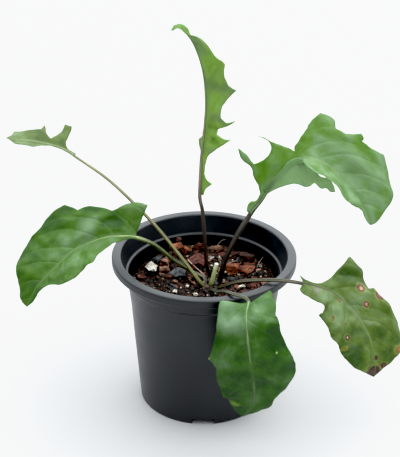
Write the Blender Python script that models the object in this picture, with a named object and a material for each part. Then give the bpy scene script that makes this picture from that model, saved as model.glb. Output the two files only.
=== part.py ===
"""A young rosette plant with six long-stalked, lobed leaves in a round plastic nursery pot.

Sizes are in millimetres in this file and metres in the scene. The origin is the centre of the
pot's underside, +Z is up, -Y is the side that the front leaf hangs over."""
import math
import random
from collections import namedtuple

import bmesh
import bpy
import numpy as np
from mathutils import Matrix, Vector
from mathutils.bvhtree import BVHTree
from mathutils.geometry import delaunay_2d_cdt

MM = 0.001
GAP = 0.3

# Pot
RIM_RADIUS = 75.0
POT_HEIGHT = 131.4
RIM_FLAT = 7.5
LIP_HEIGHT = 7.1
COLLAR_FOOT_RADIUS = 64.2
COLLAR_FOOT_HEIGHT = 116.0
SHELF_RADIUS = 61.8
WALL_TOP_RADIUS = 59.8
WALL_TOP_HEIGHT = 90.0
FOOT_RADIUS = 52.2
WALL = 1.3
FLOOR = 1.5
CENTRE_DISC_RADIUS = 30.0
CHANNEL_HEIGHT = 5.5
POT_SEGMENTS = 48
NOTCHES = 4
NOTCH_WIDTH = 18.0
NOTCH_HEIGHT = 5.0
DRAIN_HOLES = 8
DRAIN_HOLE_RADIUS = 4.0
DRAIN_HOLE_RING = 41.0

# Growing mix
SOIL_HEIGHT = 102.8
SOIL_SLOPE = 0.05
SOIL_LUMP = 1.1
CROWN_DIP = 2.5
CROWN_DIP_WIDTH = 13.0
SOIL_SEGMENTS = 40
SOIL_RINGS = 7

# Crown
CROWN = Vector((4.5, -3.5, 99.0))
CROWN_RADIUS = 7.0
CROWN_DEPTH = 12.0
CROWN_SEGMENTS = 20

# Leaves
BLADE_THICKNESS = 0.7
MESH_STEP = 8.0
EDGE_STEP = 9.0
STALK_SIDES = 8
PATH_STEPS = 16
TUBE_STRIDE = 4

# One place on a leaf's rib. face is the way the upper side looks. left and right are the fold of
# each half (degrees up from flat) and its curl (degrees more for each 10 mm out from the rib).
Rib = namedtuple("Rib", "at face left right", defaults=((0, 0), (0, 0)))

# birth is the azimuth and elevation (degrees) at which the stalk leaves the crown.
# left and right are the blade's edges from base to tip, as (along the rib, out from the rib).
Leaf = namedtuple("Leaf", "name birth stalk radii ribs left right colour stalk_colour")

UPRIGHT = Leaf(
    "leaf_upright", (75, 68), [(2.4, 1, 120), (0.8, 4, 139), (-1.4, 10, 165)], (1.9, 1.6),
    [Rib((-2.6, 14, 178), (0.98, 0.15, 0.1), (45, 0), (-30, 0)),
     Rib((-2.3, 20, 202), (0.98, 0.15, 0.05), (50, 0), (-50, 0)),
     Rib((-1.2, 23, 219), (0.98, 0.18, 0.0), (52, 0), (-60, 0)),
     Rib((0.2, 26, 235.5), (0.98, 0.2, 0.02), (50, 2), (56, 0)),
     Rib((0.6, 29, 254.8), (0.98, 0.2, 0.1), (48, 4), (56, 0)),
     Rib((-2.3, 33, 278.8), (0.96, 0.2, 0.22), (44, 4), (54, 0)),
     Rib((-10.2, 37, 300), (0.85, 0.15, 0.55), (38, 2), (44, 0)),
     Rib((-20.5, 40.5, 310.5), (0.2, 0.1, 0.95), (20, 0), (22, 0)),
     Rib((-28, 41.5, 308.3), (-0.3, 0.1, 0.9), (10, 0), (12, 0))],
    [(0, 2.2), (5.5, 4.5), (10.5, 10.5), (13, 5.5), (21, 3), (28, 3.5), (34.5, 6.5), (39.5, 11.5),
     (46.5, 19.5), (51.5, 25), (50, 17.5), (52.5, 11), (56.5, 11.5), (60, 19), (66, 26.5),
     (63.5, 19), (67, 14.5), (75.5, 15), (79.5, 18.5), (88, 28), (91, 21), (98.5, 19.5),
     (105.5, 22), (110, 18.5), (118.5, 16), (123, 15.5), (127.5, 12), (131.5, 6.5), (135, 2.5),
     (141, 4.5), (146, 3)],
    [(0, 2.2), (20, 2.1), (36, 2), (45, 5), (49, 1.7), (53, 9), (58, 13), (62, 9), (70, 10),
     (79, 15), (87, 20), (91, 14), (99, 14), (107, 17), (113, 12), (124, 10), (132, 3.5),
     (138, 7), (144, 7)],
    (0.20, 0.36, 0.07), (0.075, 0.045, 0.03))

RIGHT_BACK = Leaf(
    "leaf_right_back", (12, 46), [(16.5, -2, 125), (21, -1, 136.5), (28, 1.5, 151)], (2.3, 2.0),
    [Rib((36, 5.8, 166), (-0.6, -0.45, 0.65), (15, 0), (5, 0)),
     Rib((44.3, 9.5, 176), (-0.55, -0.45, 0.7), (15, 0), (5, 0)),
     Rib((51, 13, 185), (-0.5, -0.45, 0.75), (25, 0), (5, 0)),
     Rib((60.3, 16, 194.5), (-0.45, -0.4, 0.8), (30, -2), (5, 0)),
     Rib((68.2, 18, 201.8), (-0.3, -0.35, 0.9), (30, -2), (5, 0)),
     Rib((74, 19, 207), (-0.1, -0.25, 1), (26, 0), (8, 0)),
     Rib((81, 19.5, 210), (0.05, -0.2, 1), (26, 0), (10, 0)),
     Rib((97, 18, 204.6), (0.35, -0.22, 0.92), (34, -1), (14, 0)),
     Rib((114, 13.5, 189.9), (0.52, -0.25, 0.82), (40, -3), (14, 0)),
     Rib((128, 7, 169.9), (0.6, -0.3, 0.7), (38, -3), (10, 0)),
     Rib((134, 3, 157.5), (0.6, -0.35, 0.6), (30, -2), (8, 0))],
    [(0, 3), (4.5, 5.5), (7.5, 5.5), (10, 3), (18, 3), (22, 8), (25, 16), (27.5, 21.5),
     (27.5, 33.5), (30.5, 42), (31.5, 33), (30.5, 22.5), (36, 19.5), (42, 19), (48.5, 23),
     (49.5, 27), (46, 37.5), (53, 23.5), (57.5, 12), (60, 8.5), (63.5, 17), (66.5, 33), (70, 41.5),
     (75.5, 39.5), (79, 30.5), (84, 30.5), (91, 39.8), (93.5, 38), (94, 35), (103, 37.5),
     (108.5, 41.5), (116.5, 37), (127.5, 31.5), (132.5, 30), (141, 15), (145.5, 8)],
    [(0, 2.6), (17.5, 2.5), (42.5, 3), (55.5, 5), (62.5, 11), (71.5, 22.5), (89.5, 26),
     (111.5, 25.5), (117.5, 22), (130.5, 9), (137, 7)],
    (0.085, 0.19, 0.05), (0.08, 0.07, 0.035))

# The lower lobe of the same leaf is turned out of the blade's plane, so it has a sheet of its own.
RIGHT_BACK_LOBE = Leaf(
    "leaf_right_back_lobe", None, [(44, 11.5, 177)], (1.2, 0.6),
    [Rib((47.8, 11, 180.8), (-0.3, -0.8, 0.5)),
     Rib((57, 10, 187), (-0.1, -0.85, 0.5), (5, 0), (0, -3)),
     Rib((67, 9.5, 194.5), (0.05, -0.88, 0.45), (8, 0), (0, -4)),
     Rib((77, 10.5, 197), (0.1, -0.9, 0.4), (5, 0), (0, -4)),
     Rib((88.5, 12, 192.5), (0.1, -0.9, 0.4)),
     Rib((105, 12, 182.5), (0.1, -0.9, 0.4))],
    [(1, 4), (9, 7), (20.5, 9), (28, 11.5), (32.5, 12.5), (35, 8.5), (39, 4.5), (45, 3.5),
     (53.5, 4), (61, 4)],
    [(1, 1.2), (12, 1.2), (19, 3), (27, 5), (35, 7.5), (43, 7), (47, 2), (55, 3), (58, 1.2),
     (62, 2)],
    (0.085, 0.19, 0.05), (0.08, 0.07, 0.035))

LEFT_BACK = Leaf(
    "leaf_left_back", (165, 42), [(-19.7, 9, 124.1), (-44.4, 23, 149.8), (-77.5, 41, 176)],
    (1.7, 1.1),
    [Rib((-107, 56.5, 191.5), (-0.3, -0.15, 1), (14, 0), (14, 0)),
     Rib((-115, 59, 195.5), (-0.3, -0.15, 1), (20, 0), (16, 0)),
     Rib((-123.4, 61, 198), (-0.1, -0.1, 1), (22, 0), (16, 0)),
     Rib((-140, 63, 200.9), (0.1, -0.1, 1), (20, 0), (12, 0)),
     Rib((-163.2, 59, 205.8), (0.1, -0.1, 1), (6, 0), (6, 0))],
    [(0, 1.7), (8, 2), (16, 3), (21.5, 5), (29, 13), (45.5, 16.5), (54, 12), (56, 3.5)],
    [(0, 1.7), (8, 2.2), (11.5, 6), (12.5, 15.5), (13, 23), (17, 24), (18.5, 14.5), (24, 6.5),
     (27, 10), (31.5, 22.5), (32.5, 16), (42.5, 13.5), (52, 11.5), (54.5, 5)],
    (0.19, 0.32, 0.09), (0.22, 0.24, 0.08))

LEFT = Leaf(
    "leaf_left", (122, 38), [(-8.5, 9, 108.3), (-15, 10, 112.8), (-25.2, 8.5, 121),
                             (-40.7, 4, 137.3)], (1.8, 1.6),
    [Rib((-55, 0, 146.6), (-0.2, -0.5, 0.85), (15, 0), (22, 0)),
     Rib((-69, 0, 147), (-0.2, -0.5, 0.85), (15, 0), (24, -2)),
     Rib((-82, -1, 145.8), (-0.22, -0.5, 0.84), (15, 0), (26, -3)),
     Rib((-103, -6, 138.6), (-0.3, -0.5, 0.8), (15, -2), (24, -4)),
     Rib((-119, -15, 127), (-0.35, -0.52, 0.75), (12, -3), (20, -5)),
     Rib((-133.5, -24, 114), (-0.42, -0.58, 0.6), (8, -3), (14, -4)),
     Rib((-142.3, -31, 98.7), (-0.45, -0.62, 0.4), (4, -3), (6, -3))],
    [(0, 2.5), (7, 3.5), (17, 7.5), (29, 13), (36.5, 18), (41.5, 24), (55, 24.5), (68.5, 24.5),
     (78, 19), (87, 8.5), (95, 5), (107, 3)],
    [(0, 2.5), (-0.5, 6.5), (-3, 20), (-4.5, 27.5), (4, 27.5), (12.5, 24), (19, 21), (24, 25.5),
     (33.5, 29.5), (38, 29), (44, 38), (51.5, 37.5), (60, 33.5), (70, 34.5), (79, 31.5), (90, 27.5),
     (97, 19.5), (103.5, 13), (110, 7)],
    (0.075, 0.17, 0.045), (0.14, 0.17, 0.05))

FRONT = Leaf(
    "leaf_front", (-78, 33), [(10.6, -32, 115), (16.5, -56, 129.3), (21.5, -66, 133.5),
                               (32, -74.6, 134.6)], (1.4, 1.4),
    [Rib((34.3, -77.3, 132.6), (0.05, -0.5, 0.85), (5, -2), (5, 0)),
     Rib((32.5, -86.5, 127.3), (0, -0.75, 0.65), (6, -4), (6, 0)),
     Rib((33, -94.5, 118), (0, -0.95, 0.3), (8, -8), (8, -2)),
     Rib((36, -98.5, 93), (0.02, -1, 0.03), (8, -8), (8, -5)),
     Rib((39.7, -95, 63), (0, -1, -0.1), (6, -6), (8, -6)),
     Rib((38.5, -90.5, 45), (0, -1, -0.15), (6, -6), (6, -4)),
     Rib((31.8, -86, 31.9), (0, -1, -0.2), (4, -4), (4, -4))],
    [(0, 1.8), (-2, 4), (-5, 7.5), (-12.5, 17), (-8, 19), (-2, 20.5), (3.5, 22), (16.5, 25),
     (26, 26), (42, 30.5), (63, 35), (70, 34), (77, 29), (84, 22), (90, 16), (97, 14.5),
     (100.5, 9.5), (107, 4)],
    [(0, 1.8), (2, 5), (2.5, 11.5), (5, 21.8), (10.5, 22), (15.5, 22.5), (37.5, 29), (44, 32.5),
     (52.5, 28), (69, 28.5), (84, 25.5), (96.5, 22), (109.5, 13.5), (113, 6)],
    (0.06, 0.15, 0.025), (0.13, 0.13, 0.06))

RIGHT = Leaf(
    "leaf_right", (-38, 33), [(16.9, -22, 114.5), (30, -37.5, 127.8), (52, -45.5, 133.8),
                              (66, -48, 134.4)], (1.5, 1.5),
    [Rib((77, -49, 133.5), (0.25, -0.65, 0.7), (12, 0), (12, 0)),
     Rib((95, -49, 128.2), (0.25, -0.65, 0.7), (12, -3), (10, -3)),
     Rib((106, -51, 122.5), (0.28, -0.65, 0.68), (12, -4), (8, -4)),
     Rib((121.5, -57.5, 108), (0.32, -0.67, 0.62), (12, -6), (8, -4)),
     Rib((132, -65.5, 90), (0.4, -0.7, 0.45), (8, -5), (6, -4)),
     Rib((135.6, -72, 72), (0.4, -0.75, 0.3), (6, -4), (4, -4)),
     Rib((134.8, -74, 62.4), (0.4, -0.78, 0.25), (4, -4), (4, -4))],
    [(0, 1.8), (-3.5, 6), (4, 2.8), (14.5, 3.5), (18, 6.5), (23, 18), (25.5, 33.5), (29, 31),
     (32.5, 31), (38, 26), (44.5, 23.5), (46.5, 27), (53, 26), (61, 28.5), (72, 28), (83.5, 28.5),
     (90, 24), (95.5, 15.5), (101, 4.5)],
    [(0, 1.8), (-1, 5), (2.5, 10.5), (12, 13), (25, 17), (27, 19.5), (23.5, 22), (29.5, 24.5),
     (41.5, 27), (48.5, 29), (60.5, 29), (71, 28), (82.5, 26.5), (94, 18.5), (101, 9)],
    (0.11, 0.19, 0.06), (0.12, 0.11, 0.05))

LEAVES = (UPRIGHT, RIGHT_BACK, LEFT_BACK, LEFT, FRONT, RIGHT)

# Young shoot, cut short
SHOOT_BIRTH = (-50, 72)
SHOOT_TOP = (10.2, -3.2, 124)
SHOOT_RADII = (1.9, 1.7)

# Loose pieces on the mix, each as name, place, size along, across and up, turn in degrees
BARK_COLOUR = (0.16, 0.05, 0.025)
BARK = [
    ("bark_stack", (-6, 27), (17, 17, 10), 10),
    ("bark_curl", (-14.5, 46), (9, 6, 10), 0),
    ("bark_back", (-4.5, 52), (12, 6, 7), 0),
    ("bark_strip", (10.5, 51), (14.5, 5, 4.5), -8),
    ("bark_tan", (-32.5, 15), (9.5, 9, 7), 15),
    ("bark_orange_1", (24.5, 17.5), (16, 12, 9), 15),
    ("bark_orange_2", (36.5, 16.5), (13, 11, 7), -35),
    ("bark_red", (36, 35.5), (15, 10, 8), -45),
    ("bark_slab", (-23.5, 42), (14, 8, 5), 30),
    ("bark_chip_1", (-32, 27.5), (10, 9, 8), 70),
    ("bark_chip_2", (40.5, -5), (6.5, 6, 4), 10),
    ("bark_chip_3", (-50.5, 8), (7, 10, 5), 110),
    ("bark_chip_4", (26, 43), (10, 5, 4), 10),
    ("bark_chip_5", (-21.5, 49.5), (6, 5, 8), 25),
    ("bark_chip_6", (-18, 24), (9, 7, 5), -30),
]
PERLITE_COLOUR = (0.72, 0.68, 0.6)
PERLITE = [
    ("perlite_large", (-43.5, 16), (11, 14, 9), 15),
    ("perlite_1", (6.3, 37), (5.5, 5, 5), 40),
    ("perlite_2", (13, 38), (3.5, 3.5, 4), 0),
    ("perlite_3", (16.5, 4), (3.5, 3.5, 4), 70),
    ("perlite_4", (31, -6.5), (6.5, 4.5, 4), 20),
    ("perlite_5", (-6.5, -17.5), (5, 4, 3), 55),
    ("perlite_6", (-23.5, -14), (5, 4.5, 4), 80),
    ("perlite_7", (-13.5, -5), (4, 3.5, 3), 30),
    ("perlite_8", (47, 25), (3.5, 3.5, 4), 10),
]
CHARCOAL_COLOUR = (0.06, 0.065, 0.07)
CHARCOAL = [
    ("charcoal_1", (-21.5, 10), (15, 13, 7), 25),
    ("charcoal_2", (-39.5, 33), (9, 9, 6), 75),
    ("charcoal_3", (4, -34), (9, 7, 4), -20),
]


# Mesh helpers

def clear_scene():
    for obj in list(bpy.data.objects):
        bpy.data.objects.remove(obj, do_unlink=True)


def material(name, colour, roughness, metallic=0.0):
    mat = bpy.data.materials.new(name)
    mat.use_nodes = True
    shader = mat.node_tree.nodes["Principled BSDF"]
    shader.inputs["Base Color"].default_value = (*colour, 1)
    shader.inputs["Roughness"].default_value = roughness
    shader.inputs["Metallic"].default_value = metallic
    mat.diffuse_color = (*colour, 1)
    return mat


def new_object(name, points, faces, mat):
    """A smooth-shaded object from points in millimetres."""
    mesh = bpy.data.meshes.new(name)
    mesh.from_pydata([tuple(float(c) * MM for c in p) for p in points], [], faces)
    mesh.materials.append(mat)
    mesh.validate()
    mesh.shade_smooth()
    mesh.set_sharp_from_angle(angle=math.radians(40))
    obj = bpy.data.objects.new(name, mesh)
    bpy.context.scene.collection.objects.link(obj)
    return obj


def turned(name, profile, segments, mat):
    """A profile of (radius, height), from the axis outside and round to the axis, turned once."""
    points = []
    rings = []
    for radius, height in profile:
        if radius == 0:
            rings.append([len(points)])
            points.append((0, 0, height))
            continue
        rings.append(list(range(len(points), len(points) + segments)))
        for k in range(segments):
            turn = 2 * math.pi * k / segments
            points.append((radius * math.cos(turn), radius * math.sin(turn), height))
    return new_object(name, points, ring_faces(rings, segments), mat)


def ring_faces(rings, count):
    """Faces between rings of equal count; a ring of one point closes the shape."""
    faces = []
    for low, high in zip(rings, rings[1:]):
        for k in range(count):
            n = (k + 1) % count
            if len(low) == 1:
                faces.append((low[0], high[n], high[k]))
            elif len(high) == 1:
                faces.append((low[k], low[n], high[0]))
            else:
                faces.append((low[k], low[n], high[n], high[k]))
    return faces


def cut(obj, cutters):
    """Takes the cutters out of the object and removes them."""
    for cutter in cutters:
        cutter.hide_render = True
        cutter.display_type = "WIRE"
        boolean = obj.modifiers.new("Cut", "BOOLEAN")
        boolean.operation = "DIFFERENCE"
        boolean.solver = "EXACT"
        boolean.object = cutter
    apply_modifiers(obj)
    for cutter in cutters:
        bpy.data.objects.remove(cutter, do_unlink=True)


def apply_modifiers(obj):
    bpy.context.view_layer.update()
    depsgraph = bpy.context.evaluated_depsgraph_get()
    mesh = bpy.data.meshes.new_from_object(obj.evaluated_get(depsgraph))
    obj.modifiers.clear()
    obj.data = mesh


# Leaf geometry

def smooth_rows(rows, before):
    """Dense rows on a smooth curve through the given rows, entered from the point before."""
    rows = np.asarray(rows, float)
    first = rows[0].copy()
    first[:3] = before
    padded = np.vstack([first, rows, 2 * rows[-1] - rows[-2]])
    steps = (np.arange(PATH_STEPS) / PATH_STEPS)[:, None]
    pieces = []
    for a, b, c, d in zip(padded, padded[1:], padded[2:], padded[3:]):
        pieces.append(0.5 * (2 * b + (c - a) * steps + (2 * a - 5 * b + 4 * c - d) * steps ** 2
                             + (3 * b - 3 * c + d - a) * steps ** 3))
    return np.vstack(pieces + [rows[-1:]])


def unit(vectors):
    return vectors / np.linalg.norm(vectors, axis=-1, keepdims=True)


class Sheet:
    """The bent surface that a leaf's flat outline is laid on."""

    def __init__(self, leaf):
        rows = [(*r.at, *r.face, r.left[0], r.right[0], r.left[1], r.right[1]) for r in leaf.ribs]
        self.rows = smooth_rows(rows, leaf.stalk[-1])
        points = self.rows[:, :3]
        gaps = np.linalg.norm(np.diff(points, axis=0), axis=1)
        self.stations = np.concatenate([[0], np.cumsum(gaps)])
        self.length = self.stations[-1]
        self.tangents = unit(np.gradient(points, axis=0))
        faces = self.rows[:, 3:6]
        along = (faces * self.tangents).sum(1)[:, None] * self.tangents
        self.normals = unit(faces - along)

    def read(self, table, along):
        return np.stack([np.interp(along, self.stations, column) for column in table.T], -1)

    def at(self, along, across):
        """Points for distances along the rib and across it, right of it positive."""
        inside = np.clip(along, 0, self.length)
        row = self.read(self.rows, inside)
        tangent = unit(self.read(self.tangents, inside))
        normal = unit(self.read(self.normals, inside))
        side = np.cross(tangent, normal)
        left = across < 0
        fold = np.radians(np.where(left, row[:, 6], row[:, 7]))
        curl = np.radians(np.where(left, row[:, 8], row[:, 9])) / 10
        curl = np.where(np.abs(curl) < 1e-5, 1e-5, curl)
        reach = np.abs(across)
        out = (np.sin(fold + curl * reach) - np.sin(fold)) / curl
        rise = (np.cos(fold) - np.cos(fold + curl * reach)) / curl
        flat = row[:, :3] + (along - inside)[:, None] * tangent
        return flat + (np.sign(across) * out)[:, None] * side + rise[:, None] * normal

    def normal(self, along, across):
        """The upper side's direction; on the rib it is the mean of both halves."""
        step = 0.05
        inward = np.where(across < 0, -step, step)
        here = self.at(along, across)
        forward = self.at(along + step, across) - here
        outward = (self.at(along, across + inward) - here) * np.sign(inward)[:, None]
        normal = unit(np.cross(outward, forward))
        rib = np.abs(across) < 1e-6
        mean = unit(self.read(self.normals, np.clip(along, 0, self.length)))
        return np.where(rib[:, None], mean, normal)


def flat_mesh(leaf, length):
    """Triangles of the blade's flat outline, with the rib as a line of their edges."""
    left = [Vector((along, -across)) for along, across in leaf.left]
    right = [Vector((along, across)) for along, across in leaf.right]
    corners = right + [Vector((length, 0))] + left[::-1]
    outline = []
    for start, end in zip(corners, corners[1:] + corners[:1]):
        base_edge = start == left[0]
        pieces = 1 if base_edge else max(1, round((end - start).length / EDGE_STEP))
        outline += [start.lerp(end, k / pieces) for k in range(pieces)]
        if base_edge:
            outline.append(Vector((0, 0)))
    rib_count = round(length / MESH_STEP)
    rib = [Vector((length * k / rib_count, 0)) for k in range(1, rib_count)]
    inner = [p for p in field_points(length) if clear_of(p, outline, 0.42 * MESH_STEP)]
    flanks = [Vector((p.x + MESH_STEP / 2, side * keel_width(leaf, p.x / length)))
              for p in rib[:-2] for side in (-1, 1)]
    flanks = [p for p in flanks if clear_of(p, outline, 0.6)]
    points = outline + rib + flanks + inner
    base = next(k for k, p in enumerate(outline) if p.length == 0)
    tip = outline.index(Vector((length, 0)))
    rib_ids = [base, *range(len(outline), len(outline) + len(rib)), tip]
    edges = list(zip(rib_ids, rib_ids[1:]))
    loop = [list(range(len(outline)))]
    spots, _, faces, *_ = delaunay_2d_cdt(points, edges, loop, 1, 1e-5)
    faces = [face if turn(*(spots[i] for i in face)) > 0 else face[::-1] for face in faces]
    return spots, [tuple(face) for face in faces]


def turn(a, b, c):
    return (b.x - a.x) * (c.y - a.y) - (b.y - a.y) * (c.x - a.x)


def field_points(length):
    """Staggered points for the inside of the blade."""
    for row in range(-2, round(length / MESH_STEP) + 1):
        for k in range(1, 8):
            for side in (-1, 1):
                across = side * MESH_STEP * (k - 0.35 + 0.5 * (row % 2))
                yield Vector((MESH_STEP * (row + 0.5), across))


def clear_of(point, outline, margin):
    """True where the point lies inside the outline, farther than the margin from its edge."""
    inside = False
    for a, b in zip(outline, outline[1:] + outline[:1]):
        span = b - a
        share = min(1, max(0, (point - a).dot(span) / span.length_squared))
        if (a + span * share - point).length < margin:
            return False
        if (a.y > point.y) != (b.y > point.y):
            if point.x < a.x + span.x * (point.y - a.y) / span.y:
                inside = not inside
    return inside


def keel_width(leaf, share):
    """Half the width of the rib's keel at a share of the blade's length."""
    return leaf.radii[1] + (0.8 - leaf.radii[1]) * share


def keel_depth(leaf, share):
    """How far the keel stands out below the blade."""
    full = 2 * leaf.radii[1] - BLADE_THICKNESS
    return full + (0.3 - full) * share


def blade(leaf, mat):
    """One closed body: the waved blade with the keel of its rib along the lower side."""
    sheet = Sheet(leaf)
    spots, faces = flat_mesh(leaf, sheet.length)
    along = np.array([p.x for p in spots])
    across = np.array([p.y for p in spots])
    middle = sheet.at(along, across)
    normal = sheet.normal(along, across)
    rib = np.abs(across) < 1e-6
    share = np.clip(along / sheet.length, 0, 1)
    depth = np.where(rib, [keel_depth(leaf, s) for s in share], 0)
    upper = middle + normal * BLADE_THICKNESS / 2
    lower = middle - normal * (BLADE_THICKNESS / 2 + depth)[:, None]
    count = len(spots)
    solid = [face[::-1] for face in faces] + [tuple(i + count for i in face) for face in faces]
    directed = {(face[k], face[(k + 1) % 3]) for face in faces for k in range(3)}
    for i, j in directed:
        if (j, i) not in directed:
            solid += [(i, j, j + count), (i, j + count, i + count)]
    return new_object(leaf.name + "_blade", np.vstack([upper, lower]), solid, mat)


def on_crown(birth, lift):
    """A point over the crown, and the direction it lies in."""
    azimuth, elevation = (math.radians(angle) for angle in birth)
    way = Vector((math.cos(azimuth) * math.cos(elevation),
                  math.sin(azimuth) * math.cos(elevation), math.sin(elevation)))
    return CROWN + way * (CROWN_RADIUS + lift), way


def tube(name, path, radii, mat):
    """A round stem through every few of the dense points, square cut at both ends."""
    tangents = unit(np.gradient(path, axis=0))[::TUBE_STRIDE]
    path = path[::TUBE_STRIDE]
    side = np.cross(tangents[0], (0.31, 0.77, 0.56))
    points = []
    rings = []
    for k, (centre, tangent) in enumerate(zip(path, tangents)):
        side = unit(side - side.dot(tangent) * tangent)
        other = np.cross(tangent, side)
        radius = radii[0] + (radii[1] - radii[0]) * k / (len(path) - 1)
        rings.append(list(range(len(points), len(points) + STALK_SIDES)))
        for n in range(STALK_SIDES):
            angle = 2 * math.pi * n / STALK_SIDES
            points.append(centre + radius * (math.cos(angle) * side + math.sin(angle) * other))
    faces = ring_faces(rings, STALK_SIDES) + [tuple(rings[0][::-1]), tuple(rings[-1])]
    return new_object(name, points, faces, mat)


def stalk(leaf, mat):
    """The stalk from the crown to just short of the blade, whose rib carries it on."""
    sheet = Sheet(leaf)
    start, way = on_crown(leaf.birth, GAP)
    radius = leaf.radii[1]
    end = (Vector(leaf.ribs[0].at) - Vector(sheet.tangents[0]) * GAP
           - Vector(sheet.normals[0]) * (radius - BLADE_THICKNESS / 2))
    lead = start + way * 5
    rows = [tuple(start), tuple(lead), *leaf.stalk, tuple(end)]
    path = smooth_rows(rows, start - way * 5)
    path[-PATH_STEPS - 1:] = arrive(path[-PATH_STEPS - 1:], sheet.tangents[0])
    return tube(leaf.name + "_stalk", path, leaf.radii, mat)


def arrive(points, way):
    """Bends the last stretch so that it ends in the given direction."""
    start, end = points[0], points[-1]
    reach = np.linalg.norm(end - start)
    away = unit(points[1] - points[0])
    share = np.linspace(0, 1, len(points))[:, None]
    bezier = ((1 - share) ** 3 * start + 3 * (1 - share) ** 2 * share * (start + away * reach / 3)
              + 3 * (1 - share) * share ** 2 * (end - way * reach / 3) + share ** 3 * end)
    return bezier


# Pot

def wall_radius(height):
    """Outside radius of the tapered wall."""
    return FOOT_RADIUS + (WALL_TOP_RADIUS - FOOT_RADIUS) * height / WALL_TOP_HEIGHT


def pot(mat):
    """The moulded pot: foot, raised drainage channel, tapered wall, collar and flat rim."""
    lip_foot = POT_HEIGHT - LIP_HEIGHT
    channel_floor = CHANNEL_HEIGHT + FLOOR
    step = COLLAR_FOOT_HEIGHT - 4
    rim_inside = RIM_RADIUS - RIM_FLAT
    outside = [
        (0, 0), (CENTRE_DISC_RADIUS, 0), (CENTRE_DISC_RADIUS + 2, CHANNEL_HEIGHT),
        (FOOT_RADIUS - WALL - 1.2, CHANNEL_HEIGHT), (FOOT_RADIUS - WALL - 1, 0),
        (FOOT_RADIUS - 0.8, 0), (wall_radius(1), 1), (wall_radius(WALL_TOP_HEIGHT), WALL_TOP_HEIGHT),
        (SHELF_RADIUS + WALL - 0.6, step - 1.5), (COLLAR_FOOT_RADIUS + WALL - 0.2, step + 1.5),
        (rim_inside - 1 + WALL / 2, lip_foot), (RIM_RADIUS - 0.6, lip_foot),
        (RIM_RADIUS, lip_foot + 1), (RIM_RADIUS, POT_HEIGHT - 1), (RIM_RADIUS - 0.9, POT_HEIGHT),
    ]
    inside = [
        (rim_inside + 0.8, POT_HEIGHT), (rim_inside, POT_HEIGHT - 0.8),
        (COLLAR_FOOT_RADIUS, COLLAR_FOOT_HEIGHT), (SHELF_RADIUS, COLLAR_FOOT_HEIGHT - 0.6),
        (SHELF_RADIUS - 0.8, step), (WALL_TOP_RADIUS - WALL, WALL_TOP_HEIGHT),
        (wall_radius(channel_floor) - WALL, channel_floor),
        (CENTRE_DISC_RADIUS, channel_floor), (CENTRE_DISC_RADIUS - 2, FLOOR), (0, FLOOR),
    ]
    obj = turned("pot", outside + inside, POT_SEGMENTS, mat)
    cut(obj, [foot_notch(k) for k in range(NOTCHES)] + [drain_hole(k) for k in range(DRAIN_HOLES)])
    return obj


def foot_notch(k):
    """A box through the foot, below the channel's floor."""
    bpy.ops.mesh.primitive_cube_add(size=1)
    cutter = bpy.context.object
    cutter.dimensions = (8 * MM, NOTCH_WIDTH * MM, 2 * NOTCH_HEIGHT * MM)
    angle = 2 * math.pi * k / NOTCHES + math.pi / 2
    cutter.rotation_euler.z = angle
    cutter.location = (FOOT_RADIUS * MM * math.cos(angle), FOOT_RADIUS * MM * math.sin(angle), 0)
    return cutter


def drain_hole(k):
    angle = 2 * math.pi * (k + 0.5) / DRAIN_HOLES
    bpy.ops.mesh.primitive_cylinder_add(
        vertices=12, radius=DRAIN_HOLE_RADIUS * MM, depth=6 * MM,
        location=(DRAIN_HOLE_RING * MM * math.cos(angle), DRAIN_HOLE_RING * MM * math.sin(angle),
                  (CHANNEL_HEIGHT + FLOOR / 2) * MM))
    return bpy.context.object


# Growing mix and crown

def soil_height(x, y):
    """Height of the mix: higher at the back, dipped round the crown, lumpy by formula."""
    lumps = (math.sin(0.21 * x + 1.3) * math.cos(0.17 * y - 0.4)
             + 0.6 * math.sin(0.37 * x - 0.29 * y))
    dip = CROWN_DIP * math.exp(-((x - CROWN.x) ** 2 + (y - CROWN.y) ** 2) / CROWN_DIP_WIDTH ** 2)
    return SOIL_HEIGHT + SOIL_SLOPE * y + SOIL_LUMP * lumps - dip


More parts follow.
